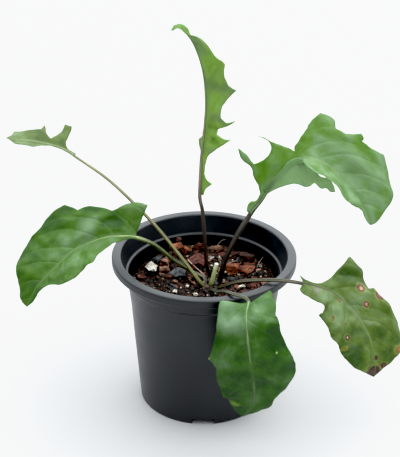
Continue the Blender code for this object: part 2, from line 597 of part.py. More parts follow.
def soil(mat):
    """The mix fills the pot, with a plain hole for the crown."""
    hole = CROWN_RADIUS + GAP
    points = []
    rings = []

    def add_ring(spots):
        rings.append(list(range(len(points), len(points) + len(spots))))
        points.extend(spots)

    def circle(radius, height):
        return [(radius * math.cos(2 * math.pi * k / SOIL_SEGMENTS),
                 radius * math.sin(2 * math.pi * k / SOIL_SEGMENTS), height)
                for k in range(SOIL_SEGMENTS)]

    floor = CHANNEL_HEIGHT + FLOOR + GAP
    fit = math.cos(math.pi / POT_SEGMENTS)
    low = (wall_radius(floor) - WALL) * fit - 1.5 * GAP
    high = (WALL_TOP_RADIUS - WALL) * fit - GAP
    rings.append([0])
    points.append((0, 0, FLOOR + GAP))
    add_ring(circle(CENTRE_DISC_RADIUS - 3, FLOOR + GAP))
    add_ring(circle(CENTRE_DISC_RADIUS - 0.5, floor))
    add_ring(circle(low, floor))
    add_ring(circle(high, WALL_TOP_HEIGHT))
    edge = circle(high + 0.35, 0)
    for ring in range(SOIL_RINGS + 1):
        share = (1 - ring / SOIL_RINGS) ** 1.15
        spots = []
        for k, (x, y, _) in enumerate(edge):
            angle = 2 * math.pi * k / SOIL_SEGMENTS
            start = (CROWN.x + hole * math.cos(angle), CROWN.y + hole * math.sin(angle))
            spot = (start[0] + (x - start[0]) * share, start[1] + (y - start[1]) * share)
            spots.append((*spot, soil_height(*spot)))
        add_ring(spots)
    bottom = CROWN.z - CROWN_DEPTH - GAP
    add_ring([(x, y, bottom) for x, y, _ in points[-SOIL_SEGMENTS:]])
    rings.append([len(points)])
    points.append((CROWN.x, CROWN.y, bottom))
    faces = ring_faces(rings, SOIL_SEGMENTS)
    triangles = [(face[0], *pair) for face in faces for pair in zip(face[1:], face[2:])]
    return new_object("soil", points, triangles, mat)


def crown(mat):
    """The short rootstock: a dome that the stalks stand round, on a tapered root."""
    arc = [(CROWN_RADIUS * math.cos(math.radians(a)), CROWN_RADIUS * math.sin(math.radians(a)))
           for a in (0, 20, 40, 60, 78)]
    profile = [(0, -CROWN_DEPTH), (3, -CROWN_DEPTH), (5.5, -6)] + arc + [(0, CROWN_RADIUS)]
    obj = turned("crown", profile, CROWN_SEGMENTS, mat)
    obj.location = CROWN * MM
    return obj


def shoot(mat):
    start, way = on_crown(SHOOT_BIRTH, GAP)
    path = smooth_rows([tuple(start), tuple(start + way * 4), SHOOT_TOP], start - way * 4)
    return tube("young_shoot", path, SHOOT_RADII, mat)


# Loose pieces

def lump(name, size, roughness, seed, mat):
    """A rough chip: the hull of points strewn on a rounded box."""
    rng = random.Random(seed)
    bm = bmesh.new()
    for _ in range(16):
        way = Vector([rng.gauss(0, 1) for _ in range(3)]).normalized()
        way /= max(abs(c) for c in way) ** roughness
        bm.verts.new([c * s / 2 * MM for c, s in zip(way, size)])
    hull = bmesh.ops.convex_hull(bm, input=bm.verts)
    spare = [e for e in hull["geom_interior"] + hull["geom_unused"] if isinstance(e, bmesh.types.BMVert)]
    bmesh.ops.delete(bm, geom=spare, context="VERTS")
    bmesh.ops.recalc_face_normals(bm, faces=bm.faces)
    mesh = bpy.data.meshes.new(name)
    bm.to_mesh(mesh)
    bm.free()
    mesh.materials.append(mat)
    obj = bpy.data.objects.new(name, mesh)
    bpy.context.scene.collection.objects.link(obj)
    return obj


def tree_of(obj):
    bm = bmesh.new()
    bm.from_mesh(obj.data)
    bm.transform(obj.matrix_world)
    tree = BVHTree.FromBMesh(bm)
    spots = [v.co.copy() for v in bm.verts]
    for edge in bm.edges:
        start, end = (v.co for v in edge.verts)
        spots += [start.lerp(end, share) for share in (0.2, 0.4, 0.6, 0.8)]
    bm.free()
    return tree, spots


def settle(obj, place, turn_degrees, ground):
    """Lowers the piece at its place until it lies just over what is under it."""
    obj.matrix_world = (Matrix.Translation((place[0] * MM, place[1] * MM, 160 * MM))
                        @ Matrix.Rotation(math.radians(turn_degrees), 4, "Z"))
    down = Vector((0, 0, -1))
    tree, spots = tree_of(obj)
    drop = math.inf
    for other_tree, other_spots in ground:
        for spot in spots:
            hit = other_tree.ray_cast(spot, down)
            if hit[0] is not None:
                drop = min(drop, hit[3])
        for spot in other_spots:
            hit = tree.ray_cast(spot, -down)
            if hit[0] is not None:
                drop = min(drop, hit[3])
    obj.location.z -= drop - 1.3 * GAP * MM
    bpy.context.view_layer.update()
    ground.append(tree_of(obj))


def loose_pieces(mix):
    ground = [tree_of(mix)]
    kinds = ((BARK, BARK_COLOUR, 0.75), (CHARCOAL, CHARCOAL_COLOUR, 0.6),
             (PERLITE, PERLITE_COLOUR, 0.3))
    for pieces, colour, roughness in kinds:
        for seed, (name, place, size, turn_degrees) in enumerate(pieces, 1):
            obj = lump(name, size, roughness, seed, material(name, colour, 0.85))
            settle(obj, place, turn_degrees, ground)


def union(obj, other):
    boolean = obj.modifiers.new("Join", "BOOLEAN")
    boolean.operation = "UNION"
    boolean.solver = "EXACT"
    boolean.object = other
    apply_modifiers(obj)
    bpy.data.objects.remove(other, do_unlink=True)


def main():
    clear_scene()
    pot(material("pot_plastic", (0.018, 0.019, 0.022), 0.4))
    mix = soil(material("growing_mix", (0.022, 0.014, 0.01), 0.95))
    crown(material("crown_skin", (0.06, 0.035, 0.025), 0.7))
    shoot(material("shoot_skin", (0.30, 0.36, 0.14), 0.5))
    for leaf in LEAVES:
        stalk(leaf, material(leaf.name + "_stalk", leaf.stalk_colour, 0.45))
        sheet = blade(leaf, material(leaf.name + "_blade", leaf.colour, 0.45))
        if leaf is RIGHT_BACK:
            union(sheet, blade(RIGHT_BACK_LOBE, sheet.data.materials[0]))
    bpy.context.view_layer.update()
    loose_pieces(mix)


main()
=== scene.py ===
import math
import random
from collections import namedtuple

import bmesh
import bpy
import numpy as np
from mathutils import Matrix, Vector, noise
from mathutils.geometry import delaunay_2d_cdt


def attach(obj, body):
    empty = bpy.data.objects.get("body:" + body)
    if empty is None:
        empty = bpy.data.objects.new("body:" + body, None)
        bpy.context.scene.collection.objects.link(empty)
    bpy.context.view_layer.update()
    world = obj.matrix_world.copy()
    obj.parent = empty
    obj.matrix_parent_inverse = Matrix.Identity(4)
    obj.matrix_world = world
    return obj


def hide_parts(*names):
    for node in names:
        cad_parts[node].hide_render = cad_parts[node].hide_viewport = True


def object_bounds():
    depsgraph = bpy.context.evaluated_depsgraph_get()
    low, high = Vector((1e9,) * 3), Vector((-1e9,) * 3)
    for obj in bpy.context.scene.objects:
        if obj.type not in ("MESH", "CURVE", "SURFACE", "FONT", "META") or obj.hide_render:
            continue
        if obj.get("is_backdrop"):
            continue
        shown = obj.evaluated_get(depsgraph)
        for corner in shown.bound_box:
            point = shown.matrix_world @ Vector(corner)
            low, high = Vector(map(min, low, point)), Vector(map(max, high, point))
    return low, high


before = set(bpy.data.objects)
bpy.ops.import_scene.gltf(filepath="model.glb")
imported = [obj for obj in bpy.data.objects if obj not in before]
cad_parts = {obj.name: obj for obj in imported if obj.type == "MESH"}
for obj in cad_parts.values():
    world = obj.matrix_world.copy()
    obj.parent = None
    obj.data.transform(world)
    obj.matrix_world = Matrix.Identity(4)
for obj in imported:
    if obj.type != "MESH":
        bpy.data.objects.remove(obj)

cad_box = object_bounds()

# The looks of a young rosette plant with six long-stalked, lobed leaves in a round plastic pot.
# Sizes are in millimetres here and metres in the scene. The origin is the centre of the pot's
# underside, +Z is up, -Y is the side that the front leaf hangs over.
MM = 0.001
GAP = 0.3

# Pot
RIM_RADIUS = 75.0
POT_HEIGHT = 131.4
RIM_FLAT = 7.5
LIP_HEIGHT = 7.1
COLLAR_FOOT_RADIUS = 64.2
COLLAR_FOOT_HEIGHT = 116.0
SHELF_RADIUS = 61.8
WALL_TOP_RADIUS = 59.8
WALL_TOP_HEIGHT = 90.0
FOOT_RADIUS = 52.2
WALL = 1.3
FLOOR = 1.5
CENTRE_DISC_RADIUS = 30.0
CHANNEL_HEIGHT = 5.5
POT_SEGMENTS = 160
POT_SHARP = 35
CORNER_SIZE = 0.8
NOTCHES = 4
NOTCH_WIDTH = 18.0
NOTCH_HEIGHT = 5.0
DRAIN_HOLES = 8
DRAIN_HOLE_RADIUS = 4.0
DRAIN_HOLE_RING = 41.0

# Growing mix and its crumbs
SOIL_HEIGHT = 102.8
SOIL_SLOPE = 0.05
SOIL_LUMP = 1.1
CROWN_DIP = 2.5
CROWN_DIP_WIDTH = 13.0
SOIL_EDGE = 59.7
SOIL_WAIST = 58.2
SOIL_STEP = 1.25
SOIL_GRAIN = ((0.9, 5.1), (0.75, 2.3), (0.5, 1.1))
CRUMBS = 3000
CRUMB_FIELD = 57.5
CRUMB_LIMIT = 4.8
PERLITE_TONE = 0.94
PERLITE_LIMIT = 2.8
FLAKES = 240
FLAKE_FIELD = 54
FLAKE_LIMIT = 9.0
CROWN_CLEARANCE = 9

# Crown
CROWN = Vector((4.5, -3.5, 99.0))
CROWN_RADIUS = 7.0
CROWN_DEPTH = 12.0
CROWN_SEGMENTS = 48

# Leaves
BLADE_THICKNESS = 0.45
MARGIN_THICKNESS = 0.22
MESH_STEP = 1.15
EDGE_STEP = 1.0
SHARP_TURN = 50.0
PATH_STEPS = 16
STALK_SIDES = 18
VEIN_STEP = 17.0
VEIN_SLOPE = 0.75
VEIN_BEND = 0.012
VEIN_WANDER = 2.5
RIB_BLEND = 1.2
RIB_TIP_RADIUS = 0.38
RIB_RISE = 0.42
RIB_END = 0.985
STALK_RISE = 0.35
CHANNEL_DEPTH = 0.34
CHANNEL_WIDTH = 0.42
FOOT_FLARE = 0.55
RAGGED_EDGE = 0.45

# How high the blade's relief is: swellings between the side veins, the veins' grooves, puckers
# of three sizes and the waved edge
SWELL = 0.28
VEIN_GROOVE = 0.3
BROAD_PUCKER = 1.6
MIDDLE_PUCKER = 1.0
SMALL_PUCKER = 0.22
EDGE_WAVE = 1.7

# One place on a leaf's rib. face is the way the upper side looks. left and right are the fold of
# each half (degrees up from flat) and its curl (degrees more for each 10 mm out from the rib).
Rib = namedtuple("Rib", "at face left right", defaults=((0, 0), (0, 0)))

# birth is the azimuth and elevation (degrees) at which the stalk leaves the crown.
# left and right are the blade's edges from base to tip, as (along the rib, out from the rib).
Leaf = namedtuple("Leaf", "name birth stalk radii ribs left right")

UPRIGHT = Leaf(
    "leaf_upright", (75, 68), [(2.4, 1, 120), (0.8, 4, 139), (-1.4, 10, 165)], (1.9, 1.6),
    [Rib((-2.6, 14, 178), (0.98, 0.15, 0.1), (45, 0), (-30, 0)),
     Rib((-2.3, 20, 202), (0.98, 0.15, 0.05), (50, 0), (-50, 0)),
     Rib((-1.2, 23, 219), (0.98, 0.18, 0.0), (52, 0), (-60, 0)),
     Rib((0.2, 26, 235.5), (0.98, 0.2, 0.02), (50, 2), (56, 0)),
     Rib((0.6, 29, 254.8), (0.98, 0.2, 0.1), (48, 4), (56, 0)),
     Rib((-2.3, 33, 278.8), (0.96, 0.2, 0.22), (44, 4), (54, 0)),
     Rib((-10.2, 37, 300), (0.85, 0.15, 0.55), (38, 2), (44, 0)),
     Rib((-20.5, 40.5, 310.5), (0.2, 0.1, 0.95), (20, 0), (22, 0)),
     Rib((-28, 41.5, 308.3), (-0.3, 0.1, 0.9), (10, 0), (12, 0))],
    [(0, 2.2), (5.5, 4.5), (10.5, 10.5), (13, 5.5), (21, 3), (28, 3.5), (34.5, 6.5), (39.5, 11.5),
     (46.5, 19.5), (51.5, 25), (50, 17.5), (52.5, 11), (56.5, 11.5), (60, 19), (66, 26.5),
     (63.5, 19), (67, 14.5), (75.5, 15), (79.5, 18.5), (88, 28), (91, 21), (98.5, 19.5),
     (105.5, 22), (110, 18.5), (118.5, 16), (123, 15.5), (127.5, 12), (131.5, 6.5), (135, 2.5),
     (141, 4.5), (146, 3)],
    [(0, 2.2), (20, 2.1), (36, 2), (45, 5), (49, 1.7), (53, 9), (58, 13), (62, 9), (70, 10),
     (79, 15), (87, 20), (91, 14), (99, 14), (107, 17), (113, 12), (124, 10), (132, 3.5),
     (138, 7), (144, 7)])

RIGHT_BACK = Leaf(
    "leaf_right_back", (12, 46), [(16.5, -2, 125), (21, -1, 136.5), (28, 1.5, 151)], (2.3, 2.0),
    [Rib((36, 5.8, 166), (-0.6, -0.45, 0.65), (15, 0), (5, 0)),
     Rib((44.3, 9.5, 176), (-0.55, -0.45, 0.7), (15, 0), (5, 0)),
     Rib((51, 13, 185), (-0.5, -0.45, 0.75), (25, 0), (5, 0)),
     Rib((60.3, 16, 194.5), (-0.45, -0.4, 0.8), (30, -2), (5, 0)),
     Rib((68.2, 18, 201.8), (-0.3, -0.35, 0.9), (30, -2), (5, 0)),
     Rib((74, 19, 207), (-0.1, -0.25, 1), (26, 0), (8, 0)),
     Rib((81, 19.5, 210), (0.05, -0.2, 1), (26, 0), (10, 0)),
     Rib((97, 18, 204.6), (0.35, -0.22, 0.92), (34, -1), (14, 0)),
     Rib((114, 13.5, 189.9), (0.52, -0.25, 0.82), (40, -3), (14, 0)),
     Rib((128, 7, 169.9), (0.6, -0.3, 0.7), (38, -3), (10, 0)),
     Rib((134, 3, 157.5), (0.6, -0.35, 0.6), (30, -2), (8, 0))],
    [(0, 3), (4.5, 5.5), (7.5, 5.5), (10, 3), (18, 3), (22, 8), (25, 16), (27.5, 21.5),
     (27.5, 33.5), (30.5, 42), (31.5, 33), (30.5, 22.5), (36, 19.5), (42, 19), (48.5, 23),
     (49.5, 27), (46, 37.5), (53, 23.5), (57.5, 12), (60, 8.5), (63.5, 17), (66.5, 33), (70, 41.5),
     (75.5, 39.5), (79, 30.5), (84, 30.5), (91, 39.8), (93.5, 38), (94, 35), (103, 37.5),
     (108.5, 41.5), (116.5, 37), (127.5, 31.5), (132.5, 30), (141, 15), (145.5, 8)],
    [(0, 2.6), (17.5, 2.5), (42.5, 3), (55.5, 5), (62.5, 11), (71.5, 22.5), (89.5, 26),
     (111.5, 25.5), (117.5, 22), (130.5, 9), (137, 7)])

# The lower lobe of the same leaf is turned out of the blade's plane, so it has a sheet of its own.
RIGHT_BACK_LOBE = Leaf(
    "leaf_right_back_lobe", None, [(44, 11.5, 177)], (1.2, 0.6),
    [Rib((47.8, 11, 180.8), (-0.3, -0.8, 0.5)),
     Rib((57, 10, 187), (-0.1, -0.85, 0.5), (5, 0), (0, -3)),
     Rib((67, 9.5, 194.5), (0.05, -0.88, 0.45), (8, 0), (0, -4)),
     Rib((77, 10.5, 197), (0.1, -0.9, 0.4), (5, 0), (0, -4)),
     Rib((88.5, 12, 192.5), (0.1, -0.9, 0.4)),
     Rib((105, 12, 182.5), (0.1, -0.9, 0.4))],
    [(1, 4), (9, 7), (20.5, 9), (28, 13.5), (32.5, 15), (36, 13), (39, 9), (44, 8),
     (48, 5), (54, 6), (61, 4.5)],
    [(1, 1.2), (12, 1.2), (19, 3), (27, 5), (35, 7.5), (43, 7), (47, 2), (55, 3), (58, 1.2),
     (62, 2)])

LEFT_BACK = Leaf(
    "leaf_left_back", (165, 42), [(-19.7, 9, 124.1), (-44.4, 23, 149.8), (-77.5, 41, 176)],
    (1.7, 1.1),
    [Rib((-107, 56.5, 191.5), (-0.3, -0.15, 1), (14, 0), (14, 0)),
     Rib((-115, 59, 195.5), (-0.3, -0.15, 1), (20, 0), (16, 0)),
     Rib((-123.4, 61, 198), (-0.1, -0.1, 1), (22, 0), (16, 0)),
     Rib((-140, 63, 200.9), (0.1, -0.1, 1), (20, 0), (12, 0)),
     Rib((-163.2, 59, 205.8), (0.1, -0.1, 1), (6, 0), (6, 0))],
    [(0, 1.7), (8, 2), (16, 3), (21.5, 5), (29, 13), (45.5, 16.5), (54, 12), (56, 3.5)],
    [(0, 1.7), (8, 2.2), (11.5, 6), (12.5, 15.5), (13, 23), (17, 24), (18.5, 14.5), (24, 6.5),
     (27, 10), (31.5, 22.5), (32.5, 16), (42.5, 13.5), (52, 11.5), (54.5, 5)])

LEFT = Leaf(
    "leaf_left", (122, 38), [(-8.5, 9, 108.3), (-15, 10, 112.8), (-25.2, 8.5, 121),
                             (-40.7, 4, 137.3)], (1.8, 1.6),
    [Rib((-55, 0, 146.6), (-0.2, -0.5, 0.85), (15, 0), (22, 0)),
     Rib((-69, 0, 147), (-0.2, -0.5, 0.85), (15, 0), (24, -2)),
     Rib((-82, -1, 145.8), (-0.22, -0.5, 0.84), (15, 0), (26, -3)),
     Rib((-103, -6, 138.6), (-0.3, -0.5, 0.8), (15, -2), (24, -4)),
     Rib((-119, -15, 127), (-0.35, -0.52, 0.75), (12, -3), (20, -5)),
     Rib((-133.5, -24, 114), (-0.42, -0.58, 0.6), (8, -3), (14, -4)),
     Rib((-142.3, -31, 98.7), (-0.45, -0.62, 0.4), (4, -3), (6, -3))],
    [(0, 2.5), (7, 3.5), (17, 7.5), (29, 13), (36.5, 18), (41.5, 24), (55, 24.5), (68.5, 24.5),
     (78, 19), (87, 8.5), (95, 5), (107, 3)],
    [(0, 2.5), (-0.5, 6.5), (-3, 20), (-4.5, 27.5), (4, 27.5), (12.5, 24), (19, 21), (24, 25.5),
     (33.5, 29.5), (38, 29), (44, 38), (51.5, 37.5), (60, 33.5), (70, 34.5), (79, 31.5), (90, 27.5),
     (97, 19.5), (103.5, 13), (110, 7)])

FRONT = Leaf(
    "leaf_front", (-78, 33), [(10.6, -32, 115), (16.5, -56, 129.3), (21.5, -66, 133.5),
                               (32, -74.6, 134.6)], (1.4, 1.4),
    [Rib((34.3, -77.3, 132.6), (0.05, -0.5, 0.85), (5, -2), (5, 0)),
     Rib((32.5, -86.5, 127.3), (0, -0.75, 0.65), (6, -4), (6, 0)),
     Rib((33, -94.5, 118), (0, -0.95, 0.3), (8, -8), (8, -2)),
     Rib((36, -98.5, 93), (0.02, -1, 0.03), (8, -8), (8, -5)),
     Rib((39.7, -95, 63), (0, -1, -0.1), (6, -6), (8, -6)),
     Rib((38.5, -90.5, 45), (0, -1, -0.15), (6, -6), (6, -4)),
     Rib((31.8, -86, 31.9), (0, -1, -0.2), (4, -4), (4, -4))],
    [(0, 1.8), (-2, 4), (-5, 7.5), (-12.5, 17), (-8, 19), (-2, 20.5), (3.5, 22), (16.5, 25),
     (26, 26), (42, 30.5), (63, 35), (70, 34), (77, 29), (84, 22), (90, 16), (97, 14.5),
     (100.5, 9.5), (107, 4)],
    [(0, 1.8), (2, 5), (2.5, 11.5), (5, 21.8), (10.5, 22), (15.5, 22.5), (37.5, 29), (44, 32.5),
     (52.5, 28), (69, 28.5), (84, 25.5), (96.5, 22), (109.5, 13.5), (113, 6)])

RIGHT = Leaf(
    "leaf_right", (-38, 33), [(16.9, -22, 114.5), (30, -37.5, 127.8), (52, -45.5, 133.8),
                              (66, -48, 134.4)], (1.5, 1.5),
    [Rib((77, -49, 133.5), (0.25, -0.65, 0.7), (12, 0), (12, 0)),
     Rib((95, -49, 128.2), (0.25, -0.65, 0.7), (12, -3), (10, -3)),
     Rib((106, -51, 122.5), (0.28, -0.65, 0.68), (12, -4), (8, -4)),
     Rib((121.5, -57.5, 108), (0.32, -0.67, 0.62), (12, -6), (8, -4)),
     Rib((132, -65.5, 90), (0.4, -0.7, 0.45), (8, -5), (6, -4)),
     Rib((135.6, -72, 72), (0.4, -0.75, 0.3), (6, -4), (4, -4)),
     Rib((134.8, -74, 62.4), (0.4, -0.78, 0.25), (4, -4), (4, -4))],
    [(0, 1.8), (-3.5, 6), (4, 2.8), (14.5, 3.5), (18, 6.5), (23, 18), (25.5, 33.5), (29, 31),
     (32.5, 31), (38, 26), (44.5, 23.5), (46.5, 27), (53, 26), (61, 28.5), (72, 28), (83.5, 28.5),
     (90, 24), (95.5, 15.5), (101, 4.5)],
    [(0, 1.8), (-1, 5), (2.5, 10.5), (12, 13), (25, 17), (27, 19.5), (23.5, 22), (29.5, 24.5),
     (41.5, 27), (48.5, 29), (60.5, 29), (71, 28), (82.5, 26.5), (94, 18.5), (101, 9)])

# Young shoot, cut short
SHOOT_BIRTH = (-50, 72)
SHOOT_TOP = (10.2, -3.2, 124)
SHOOT_RADII = (2.0, 1.75)

# The colours of one leaf: deep and fresh green above, underside, rib at its base and end, and the
# stalk from its foot to the blade. glow and film are the shares of light that the upper and the
# lower skin let through; quilt is how far the blade swells between the side veins. The greyish
# green set below is painted sheen: the leaves' glossy reflection painted into their colour.
Look = namedtuple("Look", "deep fresh under rib rib_end foot stalk top glow film quilt slot "
                          "stalk_slot")
PAINTED_SHEEN_GREY = (0.18, 0.26, 0.17)
LOOKS = {
    "leaf_upright": Look(
        (0.026, 0.085, 0.001), (0.095, 0.205, 0.012), (0.24, 0.39, 0.08), (0.2, 0.17, 0.11),
        (0.2, 0.26, 0.12), (0.01, 0.004, 0.004), (0.013, 0.005, 0.005), (0.035, 0.022, 0.012), 0.4,
        0.38, 1.8, "leaf_light", "stalk_purple"),
    "leaf_right_back": Look(
        (0.018, 0.072, 0.002), (0.072, 0.16, 0.014), (0.1, 0.2, 0.03), (0.045, 0.04, 0.018),
        (0.15, 0.22, 0.09), (0.008, 0.004, 0.004), (0.014, 0.007, 0.006), (0.035, 0.026, 0.016),
        0.42, 0.7, 0.8, "leaf_mid", "stalk_purple"),
    "leaf_left_back": Look(
        (0.03, 0.062, 0.005), (0.075, 0.12, 0.02), (0.12, 0.19, 0.05), (0.22, 0.23, 0.11),
        (0.2, 0.26, 0.12), (0.045, 0.035, 0.007), (0.12, 0.115, 0.028), (0.17, 0.16, 0.075), 0.22,
        0.6, 0.8, "leaf_light", "stalk_olive"),
    "leaf_left": Look(
        (0.016, 0.066, 0.001), (0.052, 0.13, 0.008), (0.07, 0.15, 0.02), (0.27, 0.33, 0.14),
        (0.12, 0.2, 0.06), (0.014, 0.008, 0.003), (0.042, 0.034, 0.009), (0.07, 0.1, 0.018), 0.14,
        0.6, 1.2, "leaf_deep", "stalk_olive"),
    "leaf_front": Look(
        (0.009, 0.05, 0.001), (0.032, 0.105, 0.004), (0.06, 0.13, 0.02), (0.19, 0.26, 0.11),
        (0.12, 0.19, 0.07), (0.014, 0.01, 0.006), (0.04, 0.04, 0.024), (0.075, 0.085, 0.04), 0.1,
        0.6, 1.1, "leaf_deep", "stalk_olive"),
    "leaf_right": Look(
        (0.018, 0.056, 0.002), (0.08, 0.13, 0.018), (0.09, 0.16, 0.04), (0.05, 0.035, 0.022),
        (0.16, 0.22, 0.09), (0.011, 0.007, 0.003), (0.05, 0.045, 0.018), (0.065, 0.06, 0.026), 0.14,
        0.6, 1.8, "leaf_spotted", "stalk_olive"),
}

# Places on a blade where it stands up or sinks (DENTS, millimetres) or where its colour gets more
# painted sheen, or painted shade where the amount is below zero (shares), each as (along, across,
# length, width, amount). The painted sheen elsewhere is given for each blade on its own. SETBACK
# is how far a blade lies behind its sheet away from the rib.
DENTS = {
    "leaf_left": (
        (17, 12, 8, 6, -2.4), (4, 18, 6, 8, 2.2), (27, 15, 7, 7, 1.2), (50, 16, 10, 7, -1.6),
        (38, 8, 8, 5, 1.2), (66, -12, 9, 7, 1.6)),
    "leaf_front": (
        (20, 14, 12, 8, 1.5), (20, -14, 12, 8, 1.5), (38, 8, 9, 7, -1.3), (60, -14, 12, 10, 2.0),
        (62, 16, 12, 9, 1.6), (88, 2, 9, 6, -1.4)),
    "leaf_right_back": (
        (84, 14, 10, 8, -1.8), (104, -18, 14, 8, 2.0), (78, -30, 9, 7, 2.0), (120, 8, 11, 9, 1.6),
        (34, -12, 9, 7, 1.6)),
    "leaf_upright": (
        (40, -7, 5, 5, -1.0), (57, -10, 5, 6, 1.2), (71, -7, 5, 5, -1.2), (86, -8, 6, 6, 1.0),
        (107, -7, 7, 5, -0.9)),
}
SETBACK = {"leaf_front": 1.6}
# Painted sheen on each blade outside the zones below; the lower lobe's is highest
PAINTED_SHEEN_BASE = {"leaf_left": 0.34, "leaf_front": 0.22, "leaf_right": 0.34, "leaf_right_back": 0.84,
        "leaf_right_back_lobe": 1.7, "leaf_upright": 0.66, "leaf_left_back": 0.40}
# Zones of painted sheen, and of painted shade where the amount is below zero, as in folds and hollows
PAINTED_LIGHT_ZONES = {
    "leaf_left": (
        (33, 12, 18, 14, 0.35), (58, 8, 20, 12, 0.4), (50, -14, 25, 8, 0.25),
        (96, 5, 16, 25, -0.2), (50, 36, 28, 6, -0.5), (27, 27, 10, 4, -0.5), (19, 11, 8, 6, -0.95),
        (8, 20, 7, 6, 0.25), (8, 4, 8, 4, 0.35)),
    "leaf_front": (
        (15, 14, 16, 12, 0.6), (6, -12, 11, 10, 0.4), (28, -4, 16, 12, 0.4), (45, 23, 14, 8, 0.22),
        (92, 2, 10, 6, 0.5), (34, -22, 14, 10, -0.3), (74, 4, 14, 20, -0.1)),
    "leaf_right": (
        (39, 8, 18, 10, 0.4), (45, -10, 14, 10, 0.15), (28, -14, 12, 10, -0.35),
        (78, -8, 16, 14, -0.2), (80, 22, 12, 10, -0.6), (18, 6, 12, 10, 0.25)),
    "leaf_right_back": (
        (34, -18, 18, 22, -0.32), (54, -14, 8, 12, -0.3), (64, -12, 6, 9, -0.55),
        (97, -31, 9, 6, -0.5), (72, -26, 10, 10, -0.2), (97, -6, 18, 14, 0.2),
        (122, -17, 14, 12, 0.15)),
    "leaf_upright": (
        (30, -8, 4, 8, -0.5), (40, -8, 4, 7, 0.4), (57, -11, 4, 8, -0.5), (66, -14, 4, 9, 0.4),
        (72, -6, 4, 5, -0.5), (84, -6, 5, 5, -0.5), (90, -19, 7, 8, 0.3), (107, -6, 6, 5, -0.4),
        (124, 0, 10, 12, 0.4), (90, 0, 16, 12, 0.25), (75, 15, 8, 8, 0.25), (47, -7, 12, 10, -0.3),
        (138, -8, 6, 14, -0.5), (13, 0, 14, 12, -0.15)),
    "leaf_left_back": (
        (34, 0, 8, 10, -0.35), (50, 4, 8, 14, 0.25)),
}

# Blemishes of the blades: along, across, radius, how much narrower it is across the blade, how
# yellow the green round it is, and the colours of its centre and its ring
PINK, BROWN, DARK = (0.62, 0.40, 0.30), (0.13, 0.055, 0.030), (0.045, 0.025, 0.018)
HALO = (0.42, 0.42, 0.10)
SPOTS = {
    "leaf_right": (
        (63, 18, 3.0, 1.3, 0.5, PINK, DARK), (40, -17.5, 3.2, 1.0, 0.4, (0.5, 0.28, 0.2), BROWN),
        (50.5, -11.5, 2.5, 1.0, 0.3, (0.45, 0.26, 0.2), BROWN),
        (52, -25.5, 3.0, 1.2, 0.5, (0.2, 0.1, 0.07), BROWN),
        (38.5, 18.5, 2.0, 0.8, 0.3, (0.14, 0.16, 0.04), (0.1, 0.07, 0.025)),
        (51, 13.5, 1.5, 1.0, 0.2, (0.12, 0.12, 0.04), (0.1, 0.08, 0.03)),
        (34, 1.5, 1.8, 0.7, 0.2, (0.12, 0.13, 0.04), (0.1, 0.09, 0.03)),
        (12.5, 3.5, 3.5, 0.9, 0.2, (0.17, 0.18, 0.13), (0.14, 0.17, 0.09)),
        (89.5, -1, 2.2, 1.0, 0.3, (0.055, 0.03, 0.022), DARK),
        (101.5, 1, 6.0, 0.8, 0.4, (0.075, 0.045, 0.035), DARK),
        (97, -8, 2.6, 0.9, 0.3, BROWN, DARK),
        (71, 24, 2.0, 0.8, 0.6, (0.13, 0.14, 0.02), (0.16, 0.17, 0.02)),
        (88, -22.5, 2.6, 0.8, 0.6, (0.25, 0.14, 0.04), (0.16, 0.09, 0.03)),
    ),
    "leaf_front": (
        (45, -21, 0.8, 1.0, 0.3, (0.45, 0.55, 0.3), (0.2, 0.32, 0.08)),
        (44, 33, 1.4, 1.0, 0.4, (0.75, 0.72, 0.6), (0.45, 0.42, 0.25)),
        (103, 13.5, 4.0, 1.0, 0.2, (0.13, 0.25, 0.02), (0.1, 0.21, 0.015)),
    ),
    "leaf_right_back": (
        (45.5, 4, 1.0, 1.0, 0.2, (0.8, 0.85, 0.6), (0.3, 0.42, 0.15)),
    ),
}

# Thin dry straws and twigs on the mix: both ends, sag and radius
STRAWS = (
    ((-13.2, 23.8, 112), (1.1, 7.9, 106.2), 0.6, 0.55),
    ((21.9, -3.9, 105.2), (27.6, -17.2, 103.2), 1.0, 0.35),
    ((10, 54, 107.5), (18, 57.2, 113), -1.5, 0.4),
    ((36, 8, 105.5), (50, 14, 107), -2.0, 0.3),
    ((-30, 40, 106.5), (-17, 50, 110.5), -1.5, 0.4),
    ((44, 22, 106), (49, 30, 112), -1.0, 0.3),
    ((-25, -8, 103.6), (-12, -20, 103.0), -1.2, 0.3),
    ((-48, -4, 103.8), (-38, -16, 103.6), -1.0, 0.3),
    ((14, 22, 105.6), (28, 30, 107.5), -1.8, 0.35),
    ((-2, 30, 107), (9, 38, 107.6), -1.2, 0.3),
)

# How the pieces strewn on the mix look: colours by tone, how they follow one another, the darkest
# and brightest shade of the grain, and the depth and strength of its bump
Strewn = namedtuple("Strewn", "stops steps shade bump")
CRUMB_LOOK = Strewn((
    (0.0, (0.004, 0.003, 0.003)), (0.36, (0.013, 0.008, 0.006)), (0.60, (0.035, 0.017, 0.010)),
    (0.74, (0.090, 0.036, 0.020)), (0.84, (0.16, 0.09, 0.055)), (0.89, (0.045, 0.048, 0.050)),
    (0.915, (0.34, 0.25, 0.17)), (PERLITE_TONE, (0.66, 0.61, 0.52)), (0.97, (0.84, 0.81, 0.74)),
), "CONSTANT", (0.6, 1.2), (0.0006, 0.8))
FLAKE_LOOK = Strewn((
    (0.0, (0.012, 0.007, 0.006)), (0.30, (0.050, 0.018, 0.012)), (0.55, (0.090, 0.024, 0.015)),
    (0.75, (0.15, 0.045, 0.022)), (0.84, (0.26, 0.14, 0.09)), (0.92, (0.030, 0.032, 0.034)),
), "CONSTANT", (0.35, 1.5), (0.0007, 0.8))
STRAW_LOOK = Strewn((
    (0.0, (0.035, 0.020, 0.013)), (0.5, (0.10, 0.055, 0.032)), (0.9, (0.42, 0.28, 0.22)),
), "LINEAR", (0.6, 1.2), (0.0003, 0.6))

